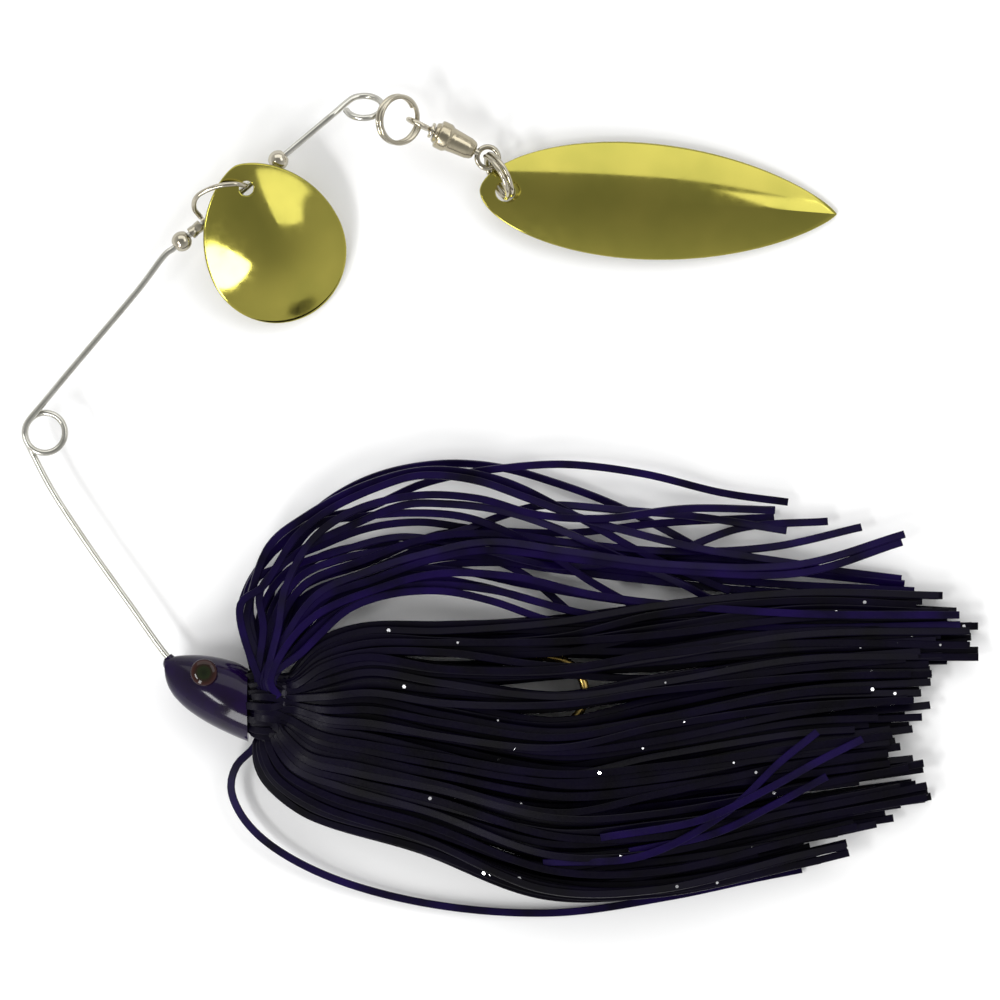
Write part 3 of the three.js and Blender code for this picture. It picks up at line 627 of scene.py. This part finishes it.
def build_blade(name, blade, body, node):
    around, rows, outline_steps = 192, 48, 2048
    outline = [blade_rim(blade, 2 * math.pi * i / outline_steps) for i in range(outline_steps)]
    angles = np.array([math.atan2(y, x) for x, y in outline])
    reaches = np.array([math.hypot(x, y) for x, y in outline])
    order = np.argsort(angles)
    angles, reaches = angles[order], reaches[order]
    hole_x = -blade["centre"]
    half = BLADE_THICKNESS / 2

    def share(x, y):
        """How far out a point lies: 0 in the middle, 1 on the outline."""
        reach = np.interp(math.atan2(y, x), angles, reaches, period=2 * math.pi)
        return math.hypot(x, y) / reach

    def height(x, y):
        """The cupped middle surface, with the end at the hole lifted."""
        k = min(share(x, y), 1.0)
        rim_x = x / k if k > 1e-6 else 0.0
        lift = min(rim_x * k, 0) / blade["near"]
        cup = blade["crown"] * (1 - k * k) * (1 - blade["flare"] * k * k)
        return cup + blade["lift"] * lift * lift

    base = height(hole_x, 0.0)

    def loop(t, offset, inset):
        """One closed line round the hole: t runs from the hole to the rim."""
        made = []
        for i in range(around):
            a = 2 * math.pi * i / around
            rx, ry = blade_rim(blade, a)
            scale = 1 - inset / max(math.hypot(rx, ry), 1e-6)
            rx, ry = rx * scale, ry * scale
            hx, hy = hole_x + blade["hole"] * math.cos(a), blade["hole"] * math.sin(a)
            x, y = hx + (rx - hx) * t, hy + (ry - hy) * t
            made.append(Vector((x - hole_x, y, height(x, y) - base + offset)))
        return made

    # Out over the face, round the rim, back over the underside, and round the hole's edge.
    shares = [k / rows for k in range(rows + 1)]
    loops = [loop(t, half, BLADE_EDGE_ROUND) for t in shares]
    for step in range(1, 6):
        b = math.pi * step / 6
        loops.append(loop(1.0, half * math.cos(b), BLADE_EDGE_ROUND * (1 - math.sin(b))))
    loops += [loop(t, -half, BLADE_EDGE_ROUND) for t in reversed(shares)]
    for step in range(1, 4):
        b = math.pi * step / 4
        waist = 1 - BLADE_HOLE_WAIST * math.sin(b)
        loops.append([
            Vector((q.x * waist, q.y * waist, q.z)) for q in loop(0.0, -half * math.cos(b), 0.0)])
    turn = (
        Matrix.Translation(blade["at"])
        @ Matrix.Rotation(math.radians(blade["heading"]), 4, "Z")
        @ Matrix.Rotation(math.radians(blade["pitch"]), 4, "Y")
        @ Matrix.Rotation(math.radians(blade["roll"]), 4, "X"))
    points, faces = moved(skin(loops, closed=True), turn)
    faces = [tuple(reversed(f)) for f in faces]
    add_mesh(name, points, faces, GOLD, body, [node], "blade_gold", 60)


# ---------- rings and swivel ----------
def helix_ring(start_deg):
    """A split ring about +Z: nearly two turns of wire, one over the other."""
    count = 150
    points = []
    for i in range(count + 1):
        t = i / count
        a = math.radians(start_deg) + 2 * math.pi * RING_TURNS * t
        points.append(Vector((
            RING_RADIUS * math.cos(a), RING_RADIUS * math.sin(a),
            RING_PITCH * RING_TURNS * (t - 0.5))))
    return tube(points, RING_WIRE_RADIUS, 14)


def build_rings():
    front = (
        Matrix.Translation((-14.15, 53.05, 7.35)) @ Matrix.Rotation(math.radians(37), 4, "Y")
        @ Matrix.Rotation(math.radians(9.5), 4, "X"))
    rear = (
        Matrix.Translation((-0.19, 45.4, 4.9)) @ Matrix.Rotation(math.radians(-63.2), 4, "Z")
        @ Matrix.Rotation(math.radians(90 - 15.9), 4, "X"))
    add_mesh("front_ring_coils", *moved(helix_ring(FRONT_RING_START_DEG), front), NICKEL,
             "front_ring", ["front_split_ring"], "nickel")
    add_mesh("rear_ring_coils", *moved(helix_ring(REAR_RING_START_DEG), rear), NICKEL,
             "rear_ring", ["rear_split_ring"], "nickel")


def swivel_turn():
    """Places a piece drawn about +Y, with the barrel's front face at the origin."""
    return (
        Matrix.Translation((-9.2, 51.5, 5.2)) @ Matrix.Rotation(math.radians(-25.5 - 90), 4, "Z")
        @ Matrix.Rotation(math.radians(-7), 4, "X"))


def build_swivel():
    turn = swivel_turn()
    outer = rounded([
        (0.8, 0.0), (1.25, 0.0), (1.45, 0.25), (1.5, 0.5), (1.95, 0.62), (2.02, 1.0), (2.02, 2.0),
        (1.86, 2.3), (1.72, 2.45), (1.70, 2.9), (1.66, 3.2), (1.5, 5.3), (1.28, 6.0),
        (1.0, BARREL_LENGTH), (0.8, BARREL_LENGTH)], 0.12)
    inner = [(0.8, 5.6), (1.05, 5.4), (1.05, 3.4), (1.5, 2.9), (1.5, 0.55), (0.8, 0.55)]
    add_mesh("swivel_barrel_shell", *moved(lathe(outer + inner, 56), turn), BARREL,
             "swivel_barrel", ["swivel_barrel"], "swivel_nickel")
    build_front_eye(turn)
    build_rear_eye(turn)
    build_balls(turn)


def build_front_eye(turn):
    upright = Matrix.Translation((0, FRONT_EYE_AT, 0)) @ Matrix.Rotation(math.pi / 2, 4, "Y")
    loop = moved(ring_bar(FRONT_EYE_RADIUS, SWIVEL_WIRE_RADIUS), upright)
    pin = lathe([(0, -0.75), (SHAFT_RADIUS, -0.75), (SHAFT_RADIUS, 1.6), (1.3, 1.6), (1.3, 2.2),
                 (0, 2.2)], 36)
    washer = lathe([(0.52, -0.62), (1.05, -0.62), (1.12, -0.5), (1.12, -0.28), (1.05, -0.18),
                    (0.52, -0.18)], 40)
    add_mesh("swivel_front_eye_bar", *moved(merge(loop, pin, washer), turn), NICKEL,
             "swivel_eye", ["swivel_front_eye"], "nickel")


def build_rear_eye(turn):
    behind = Matrix.Translation((0, BARREL_LENGTH + REAR_EYE_PAST_BARREL, 0))
    loop = moved(ring_bar(REAR_EYE_RADIUS, SWIVEL_WIRE_RADIUS), behind)
    pin_end = BARREL_LENGTH + 0.6
    pin = lathe([(0, 4.7), (0.85, 4.7), (0.85, 5.2), (SHAFT_RADIUS, 5.35),
                 (SHAFT_RADIUS, pin_end), (0, pin_end)], 36)
    add_mesh("swivel_rear_eye_bar", *moved(merge(loop, pin), turn), NICKEL, "swivel_barrel",
             ["swivel_rear_eye"], "nickel")


def build_balls(turn):
    reach = SHAFT_RADIUS + BALL_RADIUS + BALL_CLEARANCE
    side = [(BALL_RADIUS * math.sin(b), -BALL_RADIUS * math.cos(b))
            for b in np.linspace(0.15, math.pi - 0.15, 14)]
    ball = lathe([(0, -BALL_RADIUS)] + side + [(0, BALL_RADIUS)], 24)
    for i in range(BALL_COUNT):
        a = 2 * math.pi * i / BALL_COUNT
        spot = Matrix.Translation((reach * math.cos(a), BALLS_AT, reach * math.sin(a)))
        name = f"bearing_ball_{i + 1}"
        add_mesh(name + "_round", *moved(ball, turn @ spot), BALL, "bearing_balls", [name],
                 "ball_steel")


# ---------- skirt ----------
def strand(route, roll):
    """One flat silicone strand with square-cut ends. roll tips it about its own length."""
    line = smooth_line(route, STRAND_STEP)
    last = len(line) - 1
    loops = []
    for i, p in enumerate(line):
        t = (line[min(i + 1, last)] - line[max(i - 1, 0)]).normalized()
        flat = Vector((t.y, -t.x, 0))
        flat = flat.normalized() if flat.length > 1e-5 else Vector((1, 0, 0))
        turn = Matrix.Rotation(roll * math.sin(2.2 * i / max(last, 1) + roll * 9), 3, t)
        side = turn @ flat
        up = side.cross(t)
        w, h, c = STRAND_WIDTH / 2, STRAND_THICKNESS / 2, STRAND_CORNER
        loops.append([p + side * a + up * b for a, b in (
            (-w + c, -h), (-w, -h + c), (-w, h - c), (-w + c, h),
            (w - c, h), (w, h - c), (w, -h + c), (w - c, -h))])
    points, faces = skin(loops)
    return points, [tuple(reversed(f)) for f in faces]


# Rows that the rear strands cross, each from the top lane to the bottom lane, as (x, y), with the
# height of each row's middle and half its depth, and how far back the tips reach lane by lane.
REAR_ROWS = [
    [(-31.8, -26.3), (-31.8, -27.5), (-31.8, -28.8), (-31.8, -30.0), (-31.8, -31.2)],
    [(-29.4, -24.6), (-28.8, -26.8), (-28.8, -29.4), (-31.0, -33.2), (-33.9, -33.6)],
    [(-25.6, -20.0), (-24.0, -25.6), (-24.0, -31.0), (-27.6, -37.0), (-33.4, -38.2)],
    [(-19.5, -17.7), (-18.0, -24.4), (-18.0, -31.8), (-20.5, -39.0), (-27.8, -43.6)],
    [(-8.0, -17.4), (-8.0, -25.6), (-8.0, -33.7), (-9.0, -41.8), (-11.0, -49.0)],
    [(8.0, -16.6), (8.0, -26.4), (8.0, -36.2), (8.0, -46.2), (6.0, -55.3)],
    [(22.0, -14.8), (22.0, -24.8), (22.0, -34.8), (22.0, -44.8), (22.0, -55.0)],
    [(42.0, -13.0), (42.0, -22.4), (42.0, -31.8), (42.0, -41.4), (42.0, -51.0)],
    [(66.0, -13.5), (66.0, -21.4), (66.0, -29.6), (66.0, -37.8), (66.0, -45.6)],
]
ROW_HEIGHT = [(5.0, 2.7), (5.0, 3.2), (5.0, 4.4), (5.0, 4.7), (5.0, 4.6), (5.0, 4.6), (4.4, 4.0),
              (2.9, 2.5), (1.8, 1.4)]
TAIL_X = [61, 66, 67.5, 62, 60, 57, 55, 57, 63, 53, 44]

# Where the strands part so that the hook shows: lane, row, and how far they move.
PARTINGS = ((0.15, 4.4, 0.026), (0.235, 5.2, 0.024), (0.34, 5.25, 0.020))
PARTING_LANES = 0.045
PARTING_FADE = 1.6
LOWEST_REAR_Z = 0.6


def in_row(row, lane):
    """The point of a row at a lane from 0, its top, to 1, its bottom."""
    at = lane * (len(row) - 1)
    k = min(int(at), len(row) - 2)
    t = at - k
    a, b = Vector(row[k]), Vector(row[k + 1])
    return a + (b - a) * t


def rear_route(lane, level, sway, cut):
    """A route down the bundle: lane runs over its width, level from -1 (under) to 1 (over)."""
    bow = math.sqrt(max(0.0, 1 - (2 * lane - 1) ** 2))
    end_x = float(np.interp(lane, np.linspace(0, 1, len(TAIL_X)), TAIL_X)) + cut
    route = []
    for k, (row, (z, half)) in enumerate(zip(REAR_ROWS, ROW_HEIGHT)):
        grow = min(1.0, max(0.0, (k - 2) / 4))
        shifted = lane + sway[k] * grow
        for middle, near_row, push in PARTINGS:
            away = shifted - middle
            close = math.exp(-(away / PARTING_LANES) ** 2 - PARTING_FADE * (k - near_row) ** 2)
            shifted += math.copysign(push * close, away)
        shifted = min(1.0, max(0.0, shifted))
        spot = in_row(row, shifted)
        up = z + half * level * (0.35 + 0.65 * bow)
        route.append(Vector((spot.x, spot.y, max(LOWEST_REAR_Z, up))))
    # The last step is cut where the strand ends.
    kept = [p for p in route if p.x < end_x - 3]
    a, b = route[len(kept) - 1], route[min(len(kept), len(route) - 1)]
    t = (end_x - a.x) / max(b.x - a.x, 1e-6)
    kept.append(a + (b - a) * t)
    return kept


# How an outer strand leaves the band forwards and turns back over it: x and distance from the
# band's axis.
BAND_AXIS_Y = -29.0
FOLD = [(-32.4, 2.9), (-34.0, 3.2), (-34.7, 4.1), (-33.7, 4.85), (-31.6, 4.9)]
FOLD_LOWEST_Z = 0.8
FOLD_HIGHEST_Z = 10.2


def folded(route, lane, level):
    """Starts a route under the band: it comes out forwards, turns back and passes over the band."""
    across = 1 - 2 * min(1.0, max(0.0, lane + random.uniform(-0.13, 0.13)))
    out = math.copysign(math.sqrt(max(0.0, 1 - across * across)), level)
    start = []
    reach, swell = random.uniform(-1.1, 0.7), random.uniform(-0.8, 0.3)
    for k, (x, r) in enumerate(FOLD):
        r += swell * (k > 1)
        drop = (x - FOLD[0][0]) * math.tan(SHANK_SLOPE)
        z = min(FOLD_HIGHEST_Z, max(FOLD_LOWEST_Z, LOWER_ARM_Z + r * out))
        start.append(Vector((
            x + reach * (0 < k < 4), BAND_AXIS_Y + drop + r * across, z)))
    return start + [p for p in route[1:] if p.x > -32.0 or lane > 0.6]


# Levels of rear strands, from over the hook to under it: level, strands, and lane shift.
LEVELS = ((1.0, 34, 0.0), (0.68, 32, 0.5), (0.34, 26, 0.25), (-0.34, 24, 0.5), (-0.68, 24, 0.0),
          (-1.0, 28, 0.5))


def rear_strands():
    """Routes and rolls of the strands behind the collar. The outermost levels fold over it."""
    made = []
    last = len(REAR_ROWS) - 1
    for level, count, shift in LEVELS:
        for i in range(count):
            lane = min(1.0, max(0.0, (i + shift + random.uniform(-0.2, 0.2)) / (count - 0.5)))
            drift = random.uniform(-0.075, 0.075)
            wave = random.uniform(0, 2 * math.pi)
            sway = [0.02 * math.sin(wave + 1.4 * k) + drift * k / last for k in range(last + 1)]
            route = rear_route(lane, level + random.uniform(-0.14, 0.14), sway,
                               random.uniform(-8.0, 0.4))
            if abs(level) > 0.9:
                route = folded(route, lane, level)
            made.append((route, random.uniform(-0.4, 0.4)))
    return made


# Routes of the sparse strands that leave the collar forwards and arch over, as (x, y).
ARCHES = [
    [(-35.8, -18.6), (-36.4, -15.6), (-35.2, -11.8), (-33.0, -8.5), (-29.8, -5.5), (-23.9, 0.0),
     (-16.9, 3.5), (-8.2, 5.1), (-0.2, 4.6), (7.5, 2.5), (16.8, -1.0), (30.0, -8.0), (36.0, -12.0)],
    [(-34.4, -18.0), (-35.4, -13.2), (-31.5, -7.0), (-26.3, -3.1), (-18.3, -1.0), (-11.3, 2.1),
     (-6.0, 3.5), (-0.2, 4.4), (9.0, 5.0), (20.0, 3.7), (31.2, 1.0), (40.4, -0.3)],
    [(-33.0, -18.0), (-33.4, -12.6), (-28.0, -7.2), (-20.4, -3.4), (-13.4, -0.7), (-8.2, -0.5),
     (-0.2, -1.4), (7.5, -3.8), (16.8, -8.0), (26.0, -12.0), (33.0, -16.0)],
    [(-32.6, -17.0), (-30.8, -9.4), (-24.6, -6.2), (-18.3, -3.9), (-11.3, -3.1), (-3.0, -4.1),
     (10.0, -4.6), (22.0, -3.3), (38.5, -2.4)],
    [(-31.6, -16.6), (-28.0, -10.8), (-22.0, -8.2), (-15.5, -6.9), (-9.9, -5.5), (-4.4, -4.0),
     (-0.2, -2.4), (5.7, -0.8), (16.8, -1.4), (28.0, -2.4), (40.2, -4.3)],
    [(-36.2, -14.6), (-33.0, -12.0), (-28.4, -5.0), (-24.0, -1.5), (-17.0, 1.8), (-11.3, 3.4),
     (-3.7, 2.8), (4.0, 0.2), (11.0, -2.4), (18.0, -4.4), (28.0, -6.8), (44.0, -9.3)],
    [(-30.2, -18.8), (-27.6, -13.8), (-18.3, -9.9), (-11.7, -7.1), (-6.5, -5.6), (0.5, -6.2),
     (9.2, -7.3), (16.8, -8.2), (34.0, -9.4), (56.8, -11.8)],
    [(-31.2, -18.0), (-27.4, -11.9), (-19.0, -8.4), (-10.0, -5.3), (0.0, -4.7), (10.0, -6.0),
     (24.0, -7.2), (38.0, -6.6), (50.7, -3.8)],
    [(-29.4, -19.6), (-25.4, -14.0), (-17.4, -11.0), (-10.0, -8.4), (-2.0, -7.0), (10.0, -8.2),
     (24.0, -9.8), (42.0, -10.2), (56.3, -5.9)],
    [(-29.0, -20.0), (-24.4, -14.8), (-16.4, -11.4), (-8.0, -9.2), (0.5, -8.8), (7.5, -9.7),
     (20.0, -11.2), (36.0, -12.8), (57.8, -13.6)],
    [(-28.4, -20.8), (-24.4, -16.4), (-16.2, -12.2), (-9.9, -11.0), (-3.0, -12.0), (4.0, -13.9),
     (10.3, -15.6), (22.0, -18.0), (36.0, -20.0)],
    [(-27.6, -21.2), (-25.2, -18.8), (-21.1, -15.2), (-15.5, -13.2), (-8.2, -12.7), (-1.2, -14.1),
     (5.7, -16.5), (16.0, -19.5), (30.0, -22.0)],
    [(-32.0, -15.6), (-26.4, -8.6), (-18.0, -6.3), (-9.0, -6.9), (-2.0, -8.1), (3.3, -10.4),
     (9.2, -15.2), (12.7, -18.6), (20.0, -22.0)],
    [(-34.9, -16.4), (-34.0, -11.0), (-30.8, -9.2), (-25.6, -3.4), (-20.0, -2.4), (-12.0, -1.8),
     (-4.0, -2.6), (6.0, -7.0), (13.0, -11.6), (22.0, -16.4), (30.0, -20.0)],
    [(-30.8, -17.6), (-29.8, -12.0), (-26.0, -5.4), (-20.6, -1.6), (-12.0, 0.6), (-3.0, 0.2),
     (5.0, -2.0), (14.0, -2.6), (26.0, -1.2), (38.5, -1.4)],
    [(-28.8, -19.0), (-23.4, -13.0), (-15.0, -9.8), (-6.0, -9.9), (4.0, -11.9), (18.0, -14.2),
     (36.0, -15.6), (55.9, -14.8)],
    [(-35.4, -17.2), (-35.0, -14.4), (-32.2, -6.4), (-27.0, -2.2), (-19.0, 2.0), (-10.0, 4.2),
     (0.0, 2.8), (10.0, -1.9), (20.0, -7.4), (32.2, -12.8)],
    [(-29.8, -20.4), (-25.4, -15.9), (-17.4, -12.5), (-9.0, -10.3), (2.0, -10.7), (14.0, -13.4),
     (40.0, -15.8), (64.3, -16.1)],
    [(-33.6, -16.4), (-29.6, -9.9), (-23.0, -7.4), (-14.0, -5.2), (-4.0, -6.6), (8.0, -9.3),
     (22.0, -8.0), (34.0, -3.9), (46.0, -3.0)],
    [(-29.0, -21.4), (-25.0, -17.4), (-18.4, -13.8), (-11.0, -11.9), (-1.0, -12.6), (12.0, -15.9),
     (36.0, -17.8), (64.5, -17.5)],
]
ARCH_ROOT_Y = -25.4
# Arches that have a second strand close beside them.
TWINNED = (6, 8, 9)


def arch_route(index, route):
    """Adds the root under the collar and the height: each arch rises, then lies down."""
    share = index / (len(ARCHES) - 1)
    order = (index * 7) % len(ARCHES) / (len(ARCHES) - 1)
    root_x = -33.9 + 2.2 * share
    tail = max(p[0] for p in route)
    made = [Vector((root_x + 1.2, -27.4, 6.2 + 3.4 * order)),
            Vector((root_x, ARCH_ROOT_Y, 5.6 + 4.2 * order))]
    for x, y in route:
        t = min(1.0, max(0.0, (x - root_x) / (tail - root_x)))
        high = 2.4 + 6.6 * order
        low = 0.7 + 3.3 * order
        made.append(Vector((x, y, high * (1 - t) + low * t)))
    return made


# The strand that hangs in a wide loop below, and the ones that lie across the others.
LOOSE = [
    [(-33.4, -31.4, 4.2), (-34.3, -34.4, 4.0), (-36.9, -37.2, 3.6), (-37.7, -40.2, 3.2),
     (-36.6, -43.6, 2.8), (-33.2, -47.6, 2.4), (-24.9, -52.5, 1.6), (-10.6, -56.6, 1.0),
     (7.3, -58.0, 0.8), (24.0, -55.7, 0.7), (35.8, -53.2, 0.6), (42.4, -51.9, 0.5)],
    [(6.0, -50.5, 8.6), (20.0, -49.5, 9.0), (31.9, -43.2, 8.6), (39.0, -36.6, 7.6),
     (44.3, -32.4, 6.6)],
    [(14.0, -47.0, 9.2), (28.0, -44.5, 9.2), (37.8, -40.0, 8.4), (44.5, -36.4, 7.2),
     (50.6, -33.4, 6.2)],
    [(18.0, -49.0, 8.2), (30.0, -46.4, 8.4), (38.0, -42.6, 7.8), (45.6, -38.6, 6.8)],
]


def add_locks(strands, count, name, node, material):
    """Shares strands out between count pieces, each in place of one lock of the frame."""
    locks = [[] for _ in range(count)]
    for k, parts in enumerate(strands):
        locks[k % count] += parts
    for k, parts in enumerate(locks):
        number = f"{k + 1:02d}"
        add_mesh(f"{name}_{number}", *merge(*parts), material, "root", [f"{node}_{number}"],
                 "skirt_silicone", 25)


def build_skirt():
    rear = rear_strands()
    add_locks([[strand(route, roll)] for route, roll in rear], REAR_LOCKS, "strands_rear",
              "skirt_rear", PACKED_SHADED)
    arches = []
    for k, route in enumerate(ARCHES):
        made = [strand(arch_route(k, route), random.uniform(-0.5, 0.5))]
        if k in TWINNED:
            beside = [(x + random.uniform(-0.5, 0.5), y + 1.0 + random.uniform(-0.3, 0.4))
                      for x, y in route]
            made.append(strand(arch_route(k, beside), random.uniform(-0.5, 0.5)))
        arches.append(made)
    add_locks(arches, UPPER_LOCKS, "strands_upper", "skirt_upper", SINGLE)
    loose = [strand([Vector(p) for p in route], 0.2) for route in LOOSE]
    add_mesh("strands_loose", *merge(*loose), SINGLE, "root", ["skirt_loop"],
             "skirt_silicone", 25)
    build_flakes([route for route, _ in rear])


def build_flakes(routes):
    """Small bright flakes lying on the strands of the two upper levels."""
    upper_count = LEVELS[0][1] + LEVELS[1][1]
    parts = []
    for route in random.sample(routes[:upper_count], FLAKE_COUNT):
        line = smooth_line(route, 1.0)
        p = random.choice(line[len(line) // 4:]) + Vector((random.uniform(-0.3, 0.3), 0, 0.3))
        r = random.uniform(0.14, 0.30)
        disc = lathe([(0, 0.0), (r, 0.0), (r, 0.05), (0, 0.05)], 6)
        tilt = (
            Matrix.Translation(p)
            @ Matrix.Rotation(math.pi / 2 + random.uniform(-0.4, 0.4), 4, "X")
            @ Matrix.Rotation(random.uniform(-0.4, 0.4), 4, "Z"))
        parts.append(moved(disc, tilt))
    add_mesh("skirt_flakes", *merge(*parts), FLAKE, "root", (), "skirt_silicone")


# ---------- floor, light, camera ----------
VIEW_CENTRE = Vector((SHIFT.x, SHIFT.y, 0))
VIEW_WIDTH = 0.140
CAMERA_HEIGHT = 0.9
SUBJECT_HEIGHT = 0.004
SENSOR_WIDTH = 36
FLOOR_HALF = 1.6
FLOOR_DROP = 0.00005
SKY_AT_HORIZON = 0.95
SKY_OVERHEAD = 0.36


def build_floor():
    mesh = bpy.data.meshes.new("floor")
    corners = [(-FLOOR_HALF, -FLOOR_HALF, 0), (FLOOR_HALF, -FLOOR_HALF, 0),
               (FLOOR_HALF, FLOOR_HALF, 0), (-FLOOR_HALF, FLOOR_HALF, 0)]
    mesh.from_pydata(corners, [], [(0, 1, 2, 3)])
    floor = bpy.data.objects.new("floor", mesh)
    floor.location.z = -FLOOR_DROP
    bpy.context.scene.collection.objects.link(floor)
    material, tree, shader = new_material("floor_paper")
    fine = noise(tree, 300.0)
    tree.links.new(mixed(tree, fine, (0.945, 0.945, 0.945), (0.95, 0.95, 0.95)),
                   shader.inputs["Base Color"])
    shader.inputs["Roughness"].default_value = 0.9
    mesh.materials.append(material)


def area_light(name, where, width, depth, energy):
    """A rectangular lamp that faces the middle of the lure."""
    data = bpy.data.lights.new(name, "AREA")
    data.shape = "RECTANGLE"
    data.size = width
    data.size_y = depth
    data.energy = energy
    lamp = bpy.data.objects.new(name, data)
    lamp.location = where
    lamp.rotation_euler = (Vector() - Vector(where)).to_track_quat("-Z", "Y").to_euler()
    bpy.context.scene.collection.objects.link(lamp)


def build_light():
    world = bpy.data.worlds.new("studio")
    world.use_nodes = True
    tree = world.node_tree
    background = tree.nodes["Background"]
    coords = tree.nodes.new("ShaderNodeTexCoord")
    split = tree.nodes.new("ShaderNodeSeparateXYZ")
    ramp = tree.nodes.new("ShaderNodeMapRange")
    ramp.inputs["To Min"].default_value = SKY_AT_HORIZON
    ramp.inputs["To Max"].default_value = SKY_OVERHEAD
    tree.links.new(coords.outputs["Generated"], split.inputs["Vector"])
    tree.links.new(split.outputs["Z"], ramp.inputs["Value"])
    tree.links.new(ramp.outputs["Result"], background.inputs["Strength"])
    background.inputs["Color"].default_value = (1, 1, 1, 1)
    bpy.context.scene.world = world
    bpy.context.scene.view_settings.view_transform = "Standard"
    area_light("window_back", (0.0, 0.85, 0.75), 1.6, 0.74, 5.0)
    area_light("strip_front", (-0.30, -0.575, 0.47), 0.15, 0.42, 2.6)
    area_light("window_right", (0.47, 0.20, 0.61), 0.44, 0.34, 0.9)
    area_light("strip_left", (-0.456, -0.235, 0.61), 0.26, 0.09, 1.6)


def build_camera():
    data = bpy.data.cameras.new("camera")
    data.sensor_width = SENSOR_WIDTH
    data.lens = SENSOR_WIDTH * (CAMERA_HEIGHT - SUBJECT_HEIGHT) / VIEW_WIDTH
    camera = bpy.data.objects.new("camera", data)
    camera.location = VIEW_CENTRE + Vector((0, 0, CAMERA_HEIGHT))
    bpy.context.scene.collection.objects.link(camera)
    bpy.context.scene.camera = camera


build_camera()
build_floor()
build_light()
build_wire()
build_head()
build_eyes()
build_collar()
build_hook()
build_beads()
build_clevis()
build_blade("colorado_blade_cup", COLORADO, "colorado", "colorado_blade")
build_blade("willow_blade_cup", WILLOW, "willow", "willow_blade")
build_rings()
build_swivel()
build_skirt()

bpy.context.view_layer.update()
